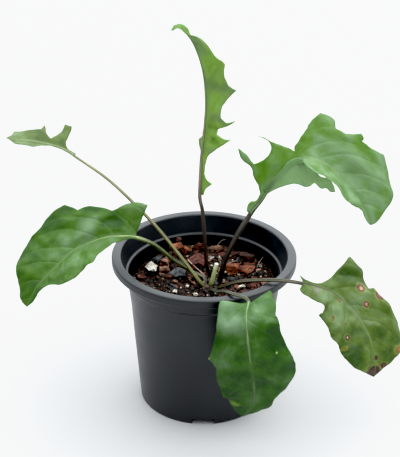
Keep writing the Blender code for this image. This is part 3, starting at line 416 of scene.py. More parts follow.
# Bark: its dark, middle and light colour, the pieces of each kind, and those that are flattened
BARKS = {
    "bark_red_brown": ((0.010, 0.004, 0.003), (0.085, 0.023, 0.014), (0.30, 0.115, 0.080)),
    "bark_orange_brown": ((0.018, 0.006, 0.003), (0.15, 0.042, 0.016), (0.42, 0.17, 0.085)),
    "bark_tan_brown": ((0.035, 0.017, 0.011), (0.20, 0.10, 0.062), (0.46, 0.29, 0.21)),
    "bark_dark_brown": ((0.008, 0.005, 0.004), (0.045, 0.016, 0.010), (0.16, 0.065, 0.045)),
}
BARK_PIECES = {
    "bark_stack": "bark_red_brown", "bark_curl": "bark_orange_brown",
    "bark_back": "bark_red_brown", "bark_strip": "bark_tan_brown", "bark_tan": "bark_tan_brown",
    "bark_orange_1": "bark_orange_brown", "bark_orange_2": "bark_orange_brown",
    "bark_red": "bark_dark_brown", "bark_chip_1": "bark_tan_brown",
    "bark_chip_2": "bark_red_brown", "bark_chip_3": "bark_red_brown",
    "bark_chip_4": "bark_dark_brown", "bark_chip_5": "bark_red_brown",
    "bark_slab": "bark_orange_brown", "bark_chip_6": "bark_tan_brown",
}
FLATTENED = {"bark_chip_5": 0.6}

# The camera: focal length and the picture's longer side in pixels, sensor and place in
# millimetres, angles in degrees
FOCAL_LENGTH = 1700
PICTURE_SIDE = 457
SENSOR = 36
TILT = 28.65
ROLL = 0.42
CAMERA_PLACE = (-3.5, -1199.7, 810.2)

# The tone curve between black and white, the black level and the tone that white gets
TONES = ((0.25, 0.27), (0.60, 0.68), (0.85, 0.88), (0.93, 0.925))
WHITE = 0.937
BLACK_LEVEL = (0.014, 0.014, 0.0135)

# The floor (metres), the sky and the light over and behind the plant (metres, watts)
FLOOR_HALF = 6
FLOOR_COLOURS = ((0.451, 0.447, 0.449), (0.459, 0.455, 0.457))
SKY_WAY = (0.12, 0.34, 0.93)
SKY_STOPS = ((0.0, 0.07), (0.25, 0.28), (0.48, 0.80), (1.0, 1.0))
SKY_TINT = (0.92, 0.97, 1.0)
SKY_STRENGTH = 3.1
KEY_SIZE = 1.5
KEY_POWER = 14
KEY_COLOUR = (1.0, 0.99, 0.97)
KEY_PLACE = (1.0, 1.2, 2.2)
KEY_AIM = Vector((0, 0, 0.12))


# Materials

def set_stops(node, stops, interpolation="LINEAR"):
    """Gives a colour ramp its (position, colour) stops."""
    node.color_ramp.interpolation = interpolation
    elements = node.color_ramp.elements
    while len(elements) < len(stops):
        elements.new(1.0)
    for element, (position, colour) in zip(elements, stops):
        element.position = position
        element.color = (*colour, 1)


def blend(first, second, share):
    """The colour between two that has the given share of the second."""
    return tuple((1 - share) * a + share * b for a, b in zip(first, second))


class Value:
    """A node's output, for use in sums and products."""

    def __init__(self, paint, socket):
        self.paint = paint
        self.socket = socket

    def __add__(self, other):
        return self.paint.math("ADD", self, other)

    def __sub__(self, other):
        return self.paint.math("SUBTRACT", self, other)

    def __rsub__(self, other):
        return self.paint.math("SUBTRACT", other, self)

    def __mul__(self, other):
        return self.paint.math("MULTIPLY", self, other)


class Paint:
    """A material and short calls that make its nodes."""

    def __init__(self, name, roughness=0.5, specular=0.5):
        self.material = bpy.data.materials.new(name)
        self.material.use_nodes = True
        self.tree = self.material.node_tree
        self.shader = self.tree.nodes["Principled BSDF"]
        self.shader.inputs["Roughness"].default_value = roughness
        self.shader.inputs["Specular IOR Level"].default_value = specular
        self.place = self.node("ShaderNodeTexCoord", output="Object")

    def node(self, kind, values=(), output=0, **settings):
        """One output of a new node with its settings made and its inputs set or linked."""
        node = self.tree.nodes.new(kind)
        for key, value in settings.items():
            setattr(node, key, value)
        for key, value in dict(values).items():
            self.feed(node.inputs[key], value)
        return Value(self, node.outputs[output])

    def feed(self, socket, value):
        if isinstance(value, Value):
            self.tree.links.new(value.socket, socket)
        elif socket.type == "RGBA":
            socket.default_value = (*value, 1)
        else:
            socket.default_value = value

    def math(self, operation, a, b=0.0, clamp=False):
        return self.node("ShaderNodeMath", {0: a, 1: b}, operation=operation, use_clamp=clamp)

    def noise(self, scale, detail, stretch=None, source=None, distortion=0.0):
        """Noise, with its coordinates multiplied by stretch where that is given."""
        vector = source or self.place
        if stretch:
            vector = self.node("ShaderNodeVectorMath", {0: vector, 1: stretch},
                               operation="MULTIPLY")
        values = {"Vector": vector, "Scale": scale, "Detail": detail, "Roughness": 0.55,
                  "Distortion": distortion}
        return self.node("ShaderNodeTexNoise", values, "Fac")

    def cells(self, scale, feature):
        values = {"Vector": self.place, "Scale": scale}
        return self.node("ShaderNodeTexVoronoi", values, "Distance", feature=feature)

    def span(self, value, low, high, out_low=0.0, out_high=1.0):
        """Maps low..high smoothly to out_low..out_high."""
        values = {"Value": value, "From Min": low, "From Max": high,
                  "To Min": out_low, "To Max": out_high}
        return self.node("ShaderNodeMapRange", values, interpolation_type="SMOOTHSTEP")

    def mix(self, factor, a, b, blend_type="MIX"):
        return self.node("ShaderNodeMix", {0: factor, 6: a, 7: b}, 2, data_type="RGBA",
                         blend_type=blend_type)

    def ramp(self, factor, stops, interpolation="LINEAR"):
        """A colour ramp through (position, colour) stops."""
        colour = self.node("ShaderNodeValToRGB", {"Fac": factor}, "Color")
        set_stops(colour.socket.node, stops, interpolation)
        return colour

    def attribute(self, name, output="Fac"):
        return self.node("ShaderNodeAttribute", output=output, attribute_name=name)

    def split(self, vector):
        parts = self.node("ShaderNodeSeparateXYZ", {0: vector}).socket.node.outputs
        return [Value(self, socket) for socket in parts]

    def shaded(self, colour, shade):
        """The colour made darker or lighter by a number."""
        grey = self.node("ShaderNodeCombineXYZ", {0: shade, 1: shade, 2: shade})
        return self.mix(1.0, colour, grey, "MULTIPLY")

    def finish(self, colour, height=None, depth=0.0, strength=1.0, roughness=None):
        """The material, with its colour and with a bump and a roughness where they are given."""
        self.feed(self.shader.inputs["Base Color"], colour)
        if height is not None:
            values = {"Height": height, "Distance": depth, "Strength": strength}
            self.feed(self.shader.inputs["Normal"], self.node("ShaderNodeBump", values))
        if roughness is not None:
            self.feed(self.shader.inputs["Roughness"], roughness)
        return self.material

    def let_through(self, colour, share):
        """Mixes in light that comes through a thin blade from behind."""
        through = self.node("ShaderNodeBsdfTranslucent", {"Color": colour})
        skin = Value(self, self.shader.outputs[0])
        mixed = self.node("ShaderNodeMixShader", {0: share, 1: skin, 2: through})
        self.feed(self.tree.nodes["Material Output"].inputs["Surface"], mixed)


def leaf_material(leaf, look, spots):
    """Deep and fresh green, painted sheen and shade, pale veins in a net, a paler underside."""
    paint = Paint(leaf.name + "_skin", specular=0.32)
    place = paint.attribute("leafmap", "Vector")
    along, across, edge = paint.split(place)
    reach = paint.math("ABSOLUTE", across)
    upper = paint.attribute("upper")
    bloom = paint.attribute("bloom")

    fine = paint.noise(260, 4)
    streaks = paint.noise(1.0, 3, (0.05, 0.16, 1.0), place)
    tone = (paint.noise(38, 3) * 0.55 + fine * 0.2 + streaks * 0.25 - 0.5) * 1.6
    bare = paint.ramp(tone + 0.5, [(0.1, look.deep), (0.9, look.fresh)])
    # The painted light added to the tone lightens the green towards a greyish painted sheen or
    # darkens it as painted shade
    tone = tone + bloom
    green = paint.ramp(tone, [(0.0, look.deep), (0.42, look.fresh),
                              (1.0, blend(look.fresh, PAINTED_SHEEN_GREY, 0.55))])

    # Side veins and the net between them are paler, and so is the strip beside the rib
    to_vein = 0.5 - paint.math("ABSOLUTE", paint.math("FRACT", paint.attribute("phase")) - 0.5)
    width = paint.span(edge, 0.0, 14.0, 0.012, 0.036)
    vein = paint.math("SUBTRACT", 1.0, paint.math("DIVIDE", to_vein, width), True)
    vein = vein * paint.span(reach, 0.2, 1.2) * paint.span(reach, 8.0, 30.0, 1.0, 0.35)
    net = paint.span(paint.cells(430, "DISTANCE_TO_EDGE"), 0.0, 0.09, 1.0, 0.0)
    pale = paint.math("ADD", vein * 0.5, net * 0.10, True)
    vein_colour = blend(look.fresh, look.rib_end, 0.55)
    green = paint.mix(pale, green, vein_colour)
    green = paint.mix(paint.span(reach, 0.5, 2.2, 0.4, 0.0), green, vein_colour)

    # The very edge is thin and a little darker
    rim = paint.span(edge, 0.0, 0.9, 0.6, 0.0)
    green = paint.mix(rim, green, tuple(0.75 * c for c in look.fresh))
    marked = 0.0
    for spot in spots:
        green, ring = paint_spot(paint, green, along, across, spot)
        marked = paint.math("MAXIMUM", marked, ring)
    under = paint.ramp(tone, [(0.0, look.deep), (0.45, look.under),
                              (1.0, blend(look.under, PAINTED_SHEEN_GREY, 0.5))])
    under = paint.mix(pale * 0.8, under, look.rib_end)
    roughness = (paint.span(paint.noise(120, 3), 0.3, 0.7, 0.32, 0.44)
                 + paint.span(upper, 0.0, 1.0, 0.18, 0.0))
    material = paint.finish(paint.mix(upper, under, green), net * -0.35 + fine * 0.5 - vein * 0.8,
                            0.00022, 0.7, roughness)

    # The lower skin works like a clear film, so that the upper one alone colours what comes
    # through. Where the painted sheen is highest, on the lower lobe, the blade is thin and pale all
    # through.
    glow = paint.mix(1.0, bare, (3.0, 2.6, 0.7), "MULTIPLY")
    glow = paint.mix(marked, glow, (0.10, 0.045, 0.02))
    glow = paint.mix(upper, (0.90, 0.95, 0.72), glow)
    share = paint.span(bloom, 0.25, 1.05, look.glow, 0.2 * look.glow)
    thin = paint.span(bloom, 1.15, 1.35)
    glow = paint.mix(thin, glow, (0.62, 0.78, 0.52))
    paint.let_through(glow, upper * (share + thin * 0.35 - look.film) + look.film)
    return material


def paint_spot(paint, under, along, across, spot):
    """One blemish: a ragged centre inside a darker ring and a faint yellow halo."""
    at, out, radius, narrow, yellow, inner, outer = spot
    dx = along - at
    dy = (across - out) * narrow
    away = paint.math("SQRT", dx * dx + dy * dy) + (paint.noise(420, 3) - 0.5) * (1.1 * radius)
    halo = paint.span(away, 0.9 * radius, 1.8 * radius, 0.5 * yellow, 0.0)
    ring = paint.span(away, 0.75 * radius, 1.15 * radius, 1.0, 0.0)
    centre = paint.span(away, 0.25 * radius, 0.6 * radius, 1.0, 0.0)
    colour = paint.mix(ring, paint.mix(halo, under, HALO), outer)
    return paint.mix(centre, colour, inner), ring


def stalk_material(leaf, look):
    """Streaked along its length, from the foot's colour through the stalk's to the pale rib."""
    paint = Paint(leaf.name + "_stalk_skin", 0.42)
    run = paint.attribute("run")
    around = paint.attribute("around", "Vector")
    streak = paint.noise(1.0, 4, (2.2, 2.2, 0.06), around)
    speckle = paint.noise(1.0, 3, (3.0, 3.0, 0.5), around)
    colour = paint.ramp(run * 0.5, [(0.0, look.foot), (0.12, look.stalk), (0.42, look.top),
                                    (0.53, look.rib), (0.78, look.rib_end), (1.0, look.fresh)])
    shade = paint.span(streak, 0.35, 0.65, 0.62, 1.25) * paint.span(speckle, 0.3, 0.7, 0.85, 1.12)
    # The channel's two edges are paler than its floor
    cosine = paint.split(around)[0]
    lip = paint.span(cosine, 0.55, 0.78) * paint.span(cosine, 0.8, 0.96, 1, 0)
    colour = paint.mix(lip * paint.span(run, 0.9, 1.0, 0.5, 0.0), paint.shaded(colour, shade),
                       tuple(1.8 * c + 0.03 for c in look.stalk))
    return paint.finish(colour, streak, 0.0004, 0.6)


# Mesh helpers

def add_object(name, data):
    obj = bpy.data.objects.new(name, data)
    bpy.context.scene.collection.objects.link(obj)
    return obj


def add_piece(name, mesh, material, replaced=(), sharp=40):
    """A riding piece; edges with a sharper turn than sharp degrees stay crisp."""
    mesh.materials.append(material)
    mesh.shade_smooth()
    if sharp:
        mesh.set_sharp_from_angle(angle=math.radians(sharp))
    obj = add_object(name, mesh)
    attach(obj, "root")
    if replaced:
        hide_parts(*replaced)
    return obj


def new_piece(name, points, faces, material, replaced=(), attributes=(), sharp=40):
    """A piece from points in millimetres; attributes are name: array per point."""
    mesh = bpy.data.meshes.new(name)
    mesh.from_pydata((np.asarray(points, float) * MM).tolist(), [], faces)
    for key, values in dict(attributes).items():
        values = np.asarray(values, float)
        kind, field = ("FLOAT_VECTOR", "vector") if values.ndim == 2 else ("FLOAT", "value")
        mesh.attributes.new(key, kind, "POINT").data.foreach_set(field, values.ravel())
    return add_piece(name, mesh, material, replaced, sharp)


def ring_faces(rings, count):
    """Faces between rings of equal count; a ring of one point closes the shape."""
    faces = []
    for low, high in zip(rings, rings[1:]):
        for k in range(count):
            n = (k + 1) % count
            if len(low) == 1:
                faces.append((low[0], high[n], high[k]))
            elif len(high) == 1:
                faces.append((low[k], low[n], high[0]))
            else:
                faces.append((low[k], low[n], high[n], high[k]))
    return faces


def polar(radius, angle):
    return radius * math.cos(angle), radius * math.sin(angle)


def lathe(profile, segments):
    """Points and rings of a turned profile; a radius of 0 makes a ring of one point."""
    points, rings = [], []
    for radius, height in profile:
        count = segments if radius else 1
        rings.append(list(range(len(points), len(points) + count)))
        points += [(*polar(radius, 2 * math.pi * k / segments), height) for k in range(count)]
    return points, rings


def triangles(points, edge, tolerance):
    """Points and upward triangles of the flat region inside a closed edge of points."""
    spots, _, faces, *_ = delaunay_2d_cdt([Vector(p) for p in points], [], [edge], 1, tolerance)
    faces = [tuple(face) if turn(*(spots[i] for i in face)) > 0 else tuple(face[::-1])
             for face in faces]
    return [tuple(p) for p in spots], faces


def turn(a, b, c):
    return (b.x - a.x) * (c.y - a.y) - (b.y - a.y) * (c.x - a.x)


def ramp(value, low, high):
    """Smooth step from 0 at low to 1 at high."""
    share = np.clip((value - low) / (high - low), 0, 1)
    return share * share * (3 - 2 * share)


def field_noise(points, size, seed=0.0):
    """Smooth noise, about -1 to 1, for each of many points; size is its wavelength."""
    shift = Vector((seed * 13.7, seed * 7.1, seed * 3.3))
    return np.array([noise.noise(Vector(p) / size + shift) for p in points.tolist()])


# Leaf geometry

def smooth_rows(rows, before):
    """Dense rows on a smooth curve through the given rows, entered from the point before."""
    rows = np.asarray(rows, float)
    first = rows[0].copy()
    first[:3] = before
    padded = np.vstack([first, rows, 2 * rows[-1] - rows[-2]])
    steps = (np.arange(PATH_STEPS) / PATH_STEPS)[:, None]
    pieces = []
    for a, b, c, d in zip(padded, padded[1:], padded[2:], padded[3:]):
        pieces.append(0.5 * (2 * b + (c - a) * steps + (2 * a - 5 * b + 4 * c - d) * steps ** 2
                             + (3 * b - 3 * c + d - a) * steps ** 3))
    return np.vstack(pieces + [rows[-1:]])


def unit(vectors):
    return vectors / np.linalg.norm(vectors, axis=-1, keepdims=True)


class Sheet:
    """The bent surface that a leaf's flat outline is laid on."""

    def __init__(self, leaf):
        rows = [(*r.at, *r.face, r.left[0], r.right[0], r.left[1], r.right[1]) for r in leaf.ribs]
        self.rows = smooth_rows(rows, leaf.stalk[-1])
        points = self.rows[:, :3]
        gaps = np.linalg.norm(np.diff(points, axis=0), axis=1)
        self.stations = np.concatenate([[0], np.cumsum(gaps)])
        self.length = self.stations[-1]
        self.tangents = unit(np.gradient(points, axis=0))
        faces = self.rows[:, 3:6]
        along = (faces * self.tangents).sum(1)[:, None] * self.tangents
        self.normals = unit(faces - along)

    def read(self, table, along):
        return np.stack([np.interp(along, self.stations, column) for column in table.T], -1)

    def at(self, along, across):
        """Points for distances along the rib and across it, right of it positive."""
        inside = np.clip(along, 0, self.length)
        row = self.read(self.rows, inside)
        tangent = unit(self.read(self.tangents, inside))
        normal = unit(self.read(self.normals, inside))
        side = np.cross(tangent, normal)
        # Both halves' folds are blended close to the rib, so that the blade has no hard crease
        share = ramp(across, -RIB_BLEND, RIB_BLEND)
        fold = np.radians(row[:, 6] * (1 - share) + row[:, 7] * share)
        curl = np.radians(row[:, 8] * (1 - share) + row[:, 9] * share) / 10
        curl = np.where(np.abs(curl) < 1e-5, 1e-5, curl)
        reach = np.abs(across)
        out = (np.sin(fold + curl * reach) - np.sin(fold)) / curl
        rise = (np.cos(fold) - np.cos(fold + curl * reach)) / curl
        flat = row[:, :3] + (along - inside)[:, None] * tangent
        return flat + (np.sign(across) * out)[:, None] * side + rise[:, None] * normal

    def normal(self, along, across):
        """The upper side's direction; on the rib it is the mean of both halves."""
        step = 0.05
        forward = self.at(along + step, across) - self.at(along - step, across)
        outward = self.at(along, across + step) - self.at(along, across - step)
        return unit(np.cross(outward, forward))


def smooth_outline(corners):
    """A dense closed line through the corners, rounded except where it turns sharply."""
    corners = np.asarray(corners, float)
    chords = np.roll(corners, -1, 0) - corners
    lengths = np.linalg.norm(chords, axis=1)
    ways = chords / lengths[:, None]
    before, before_length = np.roll(ways, 1, 0), np.roll(lengths, 1)
    bend = np.degrees(np.arccos(np.clip((ways * before).sum(1), -1, 1)))
    mean = unit(before * lengths[:, None] + ways * before_length[:, None])
    sharp = bend > SHARP_TURN
    line = []
    for k, (start, chord, length) in enumerate(zip(corners, chords, lengths)):
        n = (k + 1) % len(corners)
        leave = ways[k] if sharp[k] else mean[k]
        arrive = ways[k] if sharp[n] else mean[n]
        count = max(1, round(length / EDGE_STEP))
        for t in np.arange(count) / count:
            line.append((1 - t) ** 2 * (1 + 2 * t) * start + t * t * (3 - 2 * t) * (start + chord)
                        + length * (t * (1 - t) ** 2 * leave - t * t * (1 - t) * arrive))
    return np.array(line)


def depth_inside(points, outline):
    """Each point's distance from the closed outline, positive inside it."""
    ends = np.roll(outline, -1, 0)
    span = ends - outline
    result = []
    for block in np.array_split(points, max(1, len(points) // 500)):
        away = block[:, None] - outline
        share = np.clip((away * span).sum(-1) / (span ** 2).sum(-1), 0, 1)
        gap = np.linalg.norm(away - share[..., None] * span, axis=-1).min(1)
        above = (outline[:, 1] > block[:, 1:]) != (ends[:, 1] > block[:, 1:])
        with np.errstate(divide="ignore", invalid="ignore"):
            crossing = outline[:, 0] + span[:, 0] * (block[:, 1:] - outline[:, 1]) / span[:, 1]
        hits = (above & (block[:, :1] < crossing)).sum(1)
        result.append(np.where(hits % 2 == 1, gap, -gap))
    return np.concatenate(result)


def leaf_outline(leaf, length):
    left = [(along, -across) for along, across in leaf.left]
    corners = list(leaf.right) + [(length, 0)] + left[::-1]
    outline = smooth_outline(corners)
    ragged = field_noise(np.column_stack([outline, np.zeros(len(outline))]), 4.5, len(leaf.left))
    outward = np.roll(outline, -1, 0) - np.roll(outline, 1, 0)
    outward = unit(outward[:, ::-1] * (1, -1))
    inner = np.abs(outline[:, 1]) > 2.5
    return outline + outward * (RAGGED_EDGE * ragged * inner)[:, None]


def flat_mesh(outline, length):
    """Triangles of the flat blade with a row of points along the rib."""
    low, high = outline.min(0), outline.max(0)
    rows = np.arange(low[1], high[1], MESH_STEP * 0.866)
    field = []
    for k, y in enumerate(rows):
        xs = np.arange(low[0] + MESH_STEP * 0.5 * (k % 2), high[0], MESH_STEP)
        field.append(np.column_stack([xs, np.full(len(xs), y)]))
    field = np.vstack(field)
    field = field[np.abs(field[:, 1]) > 0.6 * MESH_STEP]
    rib = np.arange(0, length, MESH_STEP)
    field = np.vstack([field, np.column_stack([rib, np.zeros(len(rib))])])
    field = field[depth_inside(field, outline) > 0.55 * MESH_STEP]
    points = np.vstack([outline, field]).tolist()
    spots, faces = triangles(points, list(range(len(outline))), 1e-5)
    return np.array(spots), faces


def vein_phase(leaf, along, across):
    """A number that grows along the blade and is whole on every side vein."""
    reach = np.abs(across)
    wander = field_noise(np.column_stack([along, across, np.full(len(along), 9.0)]), 14)
    run = along - VEIN_SLOPE * reach - VEIN_BEND * reach ** 2 + VEIN_WANDER * wander
    phase = np.zeros(len(along))
    for side in (-1, 1):
        rng = random.Random(leaf.name + str(side))
        marks = [-60.0 + rng.uniform(0, VEIN_STEP)]
        while marks[-1] < 180:
            marks.append(marks[-1] + VEIN_STEP * rng.uniform(0.8, 1.2))
        here = across * side >= 0
        phase[here] = np.interp(run[here], marks, range(len(marks)))
    return phase


def zones(rows, along, across):
    """The sum of soft round zones at each point."""
    total = np.zeros(len(along))
    for at, out, length, width, amount in rows:
        away = ((along - at) / length) ** 2 + ((across - out) / width) ** 2
        total += amount * np.exp(-away)
    return total


def relief(leaf, look, along, across, edge):
    """The blade's height off its smooth sheet, the veins' phase and its painted sheen and shade."""
    reach = np.abs(across)
    phase = vein_phase(leaf, along, across)
    to_vein = np.abs((phase + 0.5) % 1 - 0.5)
    flat = np.column_stack([along, across, np.full(len(along), 3.0 * len(leaf.left))])
    swell = np.sin(np.pi * (phase % 1)) * ramp(reach, 0.5, 7) * ramp(edge, 0, 5)
    groove = np.exp(-(to_vein / 0.045) ** 2) * ramp(reach, 0.3, 1.5)
    broad = field_noise(flat, 19) * ramp(reach, 0, 7)
    middle = field_noise(flat, 8.5, 3) * ramp(reach, 0, 4)
    small = field_noise(flat, 4, 2) * ramp(reach, 0, 3)
    wave = field_noise(flat, 13, 5) * (1 - ramp(edge, 0, 10)) * ramp(reach, 4, 12)
    height = SWELL * (swell - 0.5 * ramp(reach, 0.5, 7)) - VEIN_GROOVE * groove
    height += MIDDLE_PUCKER * middle + EDGE_WAVE * wave
    height = look.quilt * height + BROAD_PUCKER * broad + SMALL_PUCKER * small
    height += zones(DENTS.get(leaf.name, ()), along, across)
    # Painted sheen and shade: a base amount, the listed zones, noise, and more sheen on raised
    # puckers
    bloom = PAINTED_SHEEN_BASE[leaf.name] + zones(PAINTED_LIGHT_ZONES.get(leaf.name, ()), along, across)
    bloom += 0.36 * field_noise(flat, 11, 7) + 0.17 * field_noise(flat, 4.5, 8) + 0.25 * middle
    return height, phase, bloom


def blade_mesh(leaf, look):
    """Points, faces and attributes of one closed, thin, waved blade."""
    sheet = Sheet(leaf)
    outline = leaf_outline(leaf, sheet.length)
    flat, faces = flat_mesh(outline, sheet.length)
    along, across = flat[:, 0], flat[:, 1]
    edge = np.maximum(depth_inside(flat, outline), 0)
    height, phase, bloom = relief(leaf, look, along, across, edge)
    middle = sheet.at(along, across)
    normal = sheet.normal(along, across)
    half = (MARGIN_THICKNESS + (BLADE_THICKNESS - MARGIN_THICKNESS) * ramp(edge, 0, 2.5)) / 2
    height -= SETBACK.get(leaf.name, 0) * ramp(np.abs(across), 0, 8)
    upper = middle + normal * (height + half)[:, None]
    lower = middle + normal * (height - half)[:, None]
    over_upper, over_lower = inside_box(upper) - upper, inside_box(lower) - lower
    inward = np.where(np.abs(over_upper) > np.abs(over_lower), over_upper, over_lower)
    upper, lower = upper + inward, lower + inward
    count = len(flat)
    solid = [face[::-1] for face in faces] + [tuple(i + count for i in face) for face in faces]
    directed = {(face[k], face[(k + 1) % 3]) for face in faces for k in range(3)}
    for i, j in directed:
        if (j, i) not in directed:
            solid.append((i, j, j + count, i + count))
    leafmap = np.column_stack([along, across, edge])
    # The painted sheen and shade go to the material beside the blade's map
    attributes = {"leafmap": np.vstack([leafmap, leafmap]), "phase": np.tile(phase, 2),
                  "bloom": np.tile(bloom, 2), "upper": np.repeat([1.0, 0.0], count)}
    return np.vstack([upper, lower]), solid, attributes


def join_meshes(first, second):
    """Two (points, faces, attributes) made one."""
    shift = len(first[0])
    faces = first[1] + [tuple(i + shift for i in face) for face in second[1]]
    attributes = {key: np.concatenate([first[2][key], second[2][key]]) for key in first[2]}
    return np.vstack([first[0], second[0]]), faces, attributes


def inside_box(points):
    """Keeps points within the CAD model's box."""
    low, high = (np.array(corner) / MM for corner in cad_box)
    return np.clip(points, low, high)


def blade(leaf, look, spots, lobe=None):
    made = blade_mesh(leaf, look)
    if lobe:
        made = join_meshes(made, blade_mesh(lobe, look))
    points, faces, attributes = made
    material = leaf_material(leaf, look, spots)
    return new_piece(leaf.name + "_fine", inside_box(points), faces, material,
                     [leaf.name + "_blade"], attributes, sharp=0)


def on_crown(birth, lift):
    """A point over the crown, and the direction it lies in."""
    azimuth, elevation = (math.radians(angle) for angle in birth)
    way = Vector((math.cos(azimuth) * math.cos(elevation),
                  math.sin(azimuth) * math.cos(elevation), math.sin(elevation)))
    return CROWN + way * (CROWN_RADIUS + lift), way


def arrive(points, way):
    """Bends the last stretch so that it ends in the given direction."""
    start, end = points[0], points[-1]
    third = np.linalg.norm(end - start) / 3
    away = unit(points[1] - points[0])
    share = np.linspace(0, 1, len(points))[:, None]
    return ((1 - share) ** 3 * start + 3 * (1 - share) ** 2 * share * (start + away * third)
            + 3 * (1 - share) * share ** 2 * (end - way * third) + share ** 3 * end)


def stalk_path(leaf, sheet):
    """The dense line of the stalk's middle from the crown to the blade."""
    start, way = on_crown(leaf.birth, GAP)
    radius = leaf.radii[1]
    end = (Vector(leaf.ribs[0].at) - Vector(sheet.tangents[0]) * GAP
           - Vector(sheet.normals[0]) * (radius - STALK_RISE))
    rows = [tuple(start), tuple(start + way * 5), *leaf.stalk, tuple(end)]
    path = smooth_rows(rows, start - way * 5)
    path[-PATH_STEPS - 1:] = arrive(path[-PATH_STEPS - 1:], sheet.tangents[0])
    return np.vstack([np.array(start - way * 2.5), path])


def carried_frames(tangents, first_up):
    """Up vectors carried along a path from its first point without twist."""
    ups = []
    up = np.asarray(first_up, float)
    for tangent in tangents:
        up = unit(up - up.dot(tangent) * tangent)
        ups.append(up)
    return np.array(ups)


def swept(path, ups, radii, run, channel):
    """A channelled stem along a path; each section is groove-topped where channel is 1."""
    tangents = unit(np.gradient(path, axis=0))
    sides = np.cross(tangents, ups)
    arc = np.concatenate([[0], np.cumsum(np.linalg.norm(np.diff(path, axis=0), axis=1))])
    angles = 2 * math.pi * np.arange(STALK_SIDES) / STALK_SIDES
    groove = np.exp(-(np.minimum(angles, 2 * math.pi - angles) / CHANNEL_WIDTH) ** 2)
    points, around, runs, rings = [], [], [], []
    for k, centre in enumerate(path):
        shape = radii[k] * (1 - CHANNEL_DEPTH * channel[k] * groove)
        ring = (centre + np.outer(shape * np.cos(angles), ups[k])
                + np.outer(shape * np.sin(angles), sides[k]))
        rings.append(list(range(len(points), len(points) + STALK_SIDES)))
        points.extend(ring)
        around.extend((math.cos(a), math.sin(a), arc[k]) for a in angles)
        runs.extend([run[k]] * STALK_SIDES)
    rings.append([len(points)])
    points.append(path[-1] + tangents[-1] * radii[-1] * 0.5)
    around.append((1, 0, arc[-1]))
    runs.append(run[-1])
    faces = ring_faces(rings, STALK_SIDES) + [tuple(rings[0][::-1])]
    return np.array(points), faces, {"around": around, "run": runs}


def stalk(leaf, look):
    """The stalk and, in one sweep with it, the blade's rib to its tip."""
    sheet = Sheet(leaf)
    lead = stalk_path(leaf, sheet)
    back = unit(np.gradient(lead, axis=0))[::-1]
    lead_ups = carried_frames(back, sheet.normals[0])[::-1]
    share = sheet.stations / sheet.length
    rib_radii = RIB_TIP_RADIUS + (leaf.radii[1] - RIB_TIP_RADIUS) * (1 - share) ** 1.6
    rib = sheet.rows[:, :3] - sheet.normals * (rib_radii - RIB_RISE)[:, None]
    keep = share < RIB_END
    path = np.vstack([lead, rib[keep][1:]])
    ups = np.vstack([lead_ups, sheet.normals[keep][1:]])
    lead_run = np.linspace(0, 1, len(lead))
    radii = leaf.radii[0] + (leaf.radii[1] - leaf.radii[0]) * lead_run
    flare = FOOT_FLARE * np.exp(-(lead_run * len(lead) / 9) ** 2)
    radii = np.concatenate([radii * (1 + flare), rib_radii[keep][1:]])
    run = np.concatenate([lead_run, 1 + share[keep][1:]])
    channel = 1 - ramp(run, 0.9, 1.05)
    points, faces, attributes = swept(path, ups, radii, run, channel)
    material = stalk_material(leaf, look)
    return new_piece(leaf.name + "_stalk_fine", inside_box(points), faces, material,
                     [leaf.name + "_stalk"], attributes)


def leaves():
    for leaf in (UPRIGHT, RIGHT_BACK, LEFT_BACK, LEFT, FRONT, RIGHT):
        look = LOOKS[leaf.name]
        lobe = RIGHT_BACK_LOBE if leaf is RIGHT_BACK else None
        blade(leaf, look, SPOTS.get(leaf.name, ()), lobe)
        stalk(leaf, look)


# Young shoot and crown

def shoot():
    start, way = on_crown(SHOOT_BIRTH, GAP)
    path = smooth_rows([tuple(start), tuple(start + way * 4), SHOOT_TOP], start - way * 4)
    path = np.vstack([np.array(start - way * 2), path])
    ups = carried_frames(unit(np.gradient(path, axis=0)), (-0.5, 0.8, 0.2))
    run = np.linspace(0, 1, len(path))
    radii = SHOOT_RADII[0] + (SHOOT_RADII[1] - SHOOT_RADII[0]) * run
    points, faces, attributes = swept(path, ups, radii, run, np.ones(len(path)))
    paint = Paint("shoot_pale", 0.4)
    streak = paint.noise(1.0, 3, (2.5, 2.5, 0.1), paint.attribute("around", "Vector"))
    colour = paint.ramp(paint.attribute("run"), [
        (0.0, (0.07, 0.06, 0.02)), (0.3, (0.24, 0.27, 0.08)), (0.85, (0.40, 0.45, 0.20)),
        (0.97, (0.62, 0.62, 0.45)), (1.0, (0.78, 0.76, 0.62))])
    colour = paint.shaded(colour, paint.span(streak, 0.3, 0.7, 0.75, 1.15))
    new_piece("young_shoot_fine", points, faces, paint.finish(colour, streak, 0.0004, 0.5),
              ["young_shoot"], attributes)


def crown():
    """The short rootstock: a rough dome with the rings of old leaf bases."""
    profile = [(0.01, -CROWN_DEPTH), (3, -CROWN_DEPTH), (5.5, -6)]
    profile += [polar(CROWN_RADIUS, math.radians(angle)) for angle in range(0, 88, 5)]
    points, rings = lathe(profile + [(0, CROWN_RADIUS)], CROWN_SEGMENTS)
    points = np.array(points)
    rough = field_noise(points, 2.4) * 0.7 + field_noise(points * (1, 1, 3), 4.5, 3) * 0.8
    out = unit(points + (0, 0, 1e-6))
    points = points + out * (rough - 0.5)[:, None] + np.array(CROWN)
    faces = ring_faces(rings, CROWN_SEGMENTS) + [tuple(rings[0][::-1])]
    paint = Paint("crown_bark", 0.7)
    tone = paint.noise(420, 4, (1, 1, 0.35))
    colour = paint.ramp(paint.span(tone, 0.3, 0.7), [
        (0.0, (0.012, 0.007, 0.006)), (0.5, (0.05, 0.024, 0.02)), (1.0, (0.12, 0.09, 0.045))])
    material = paint.finish(colour, tone, 0.0009, 0.8)
    new_piece("crown_fine", points, faces, material, ["crown"])


# Pot

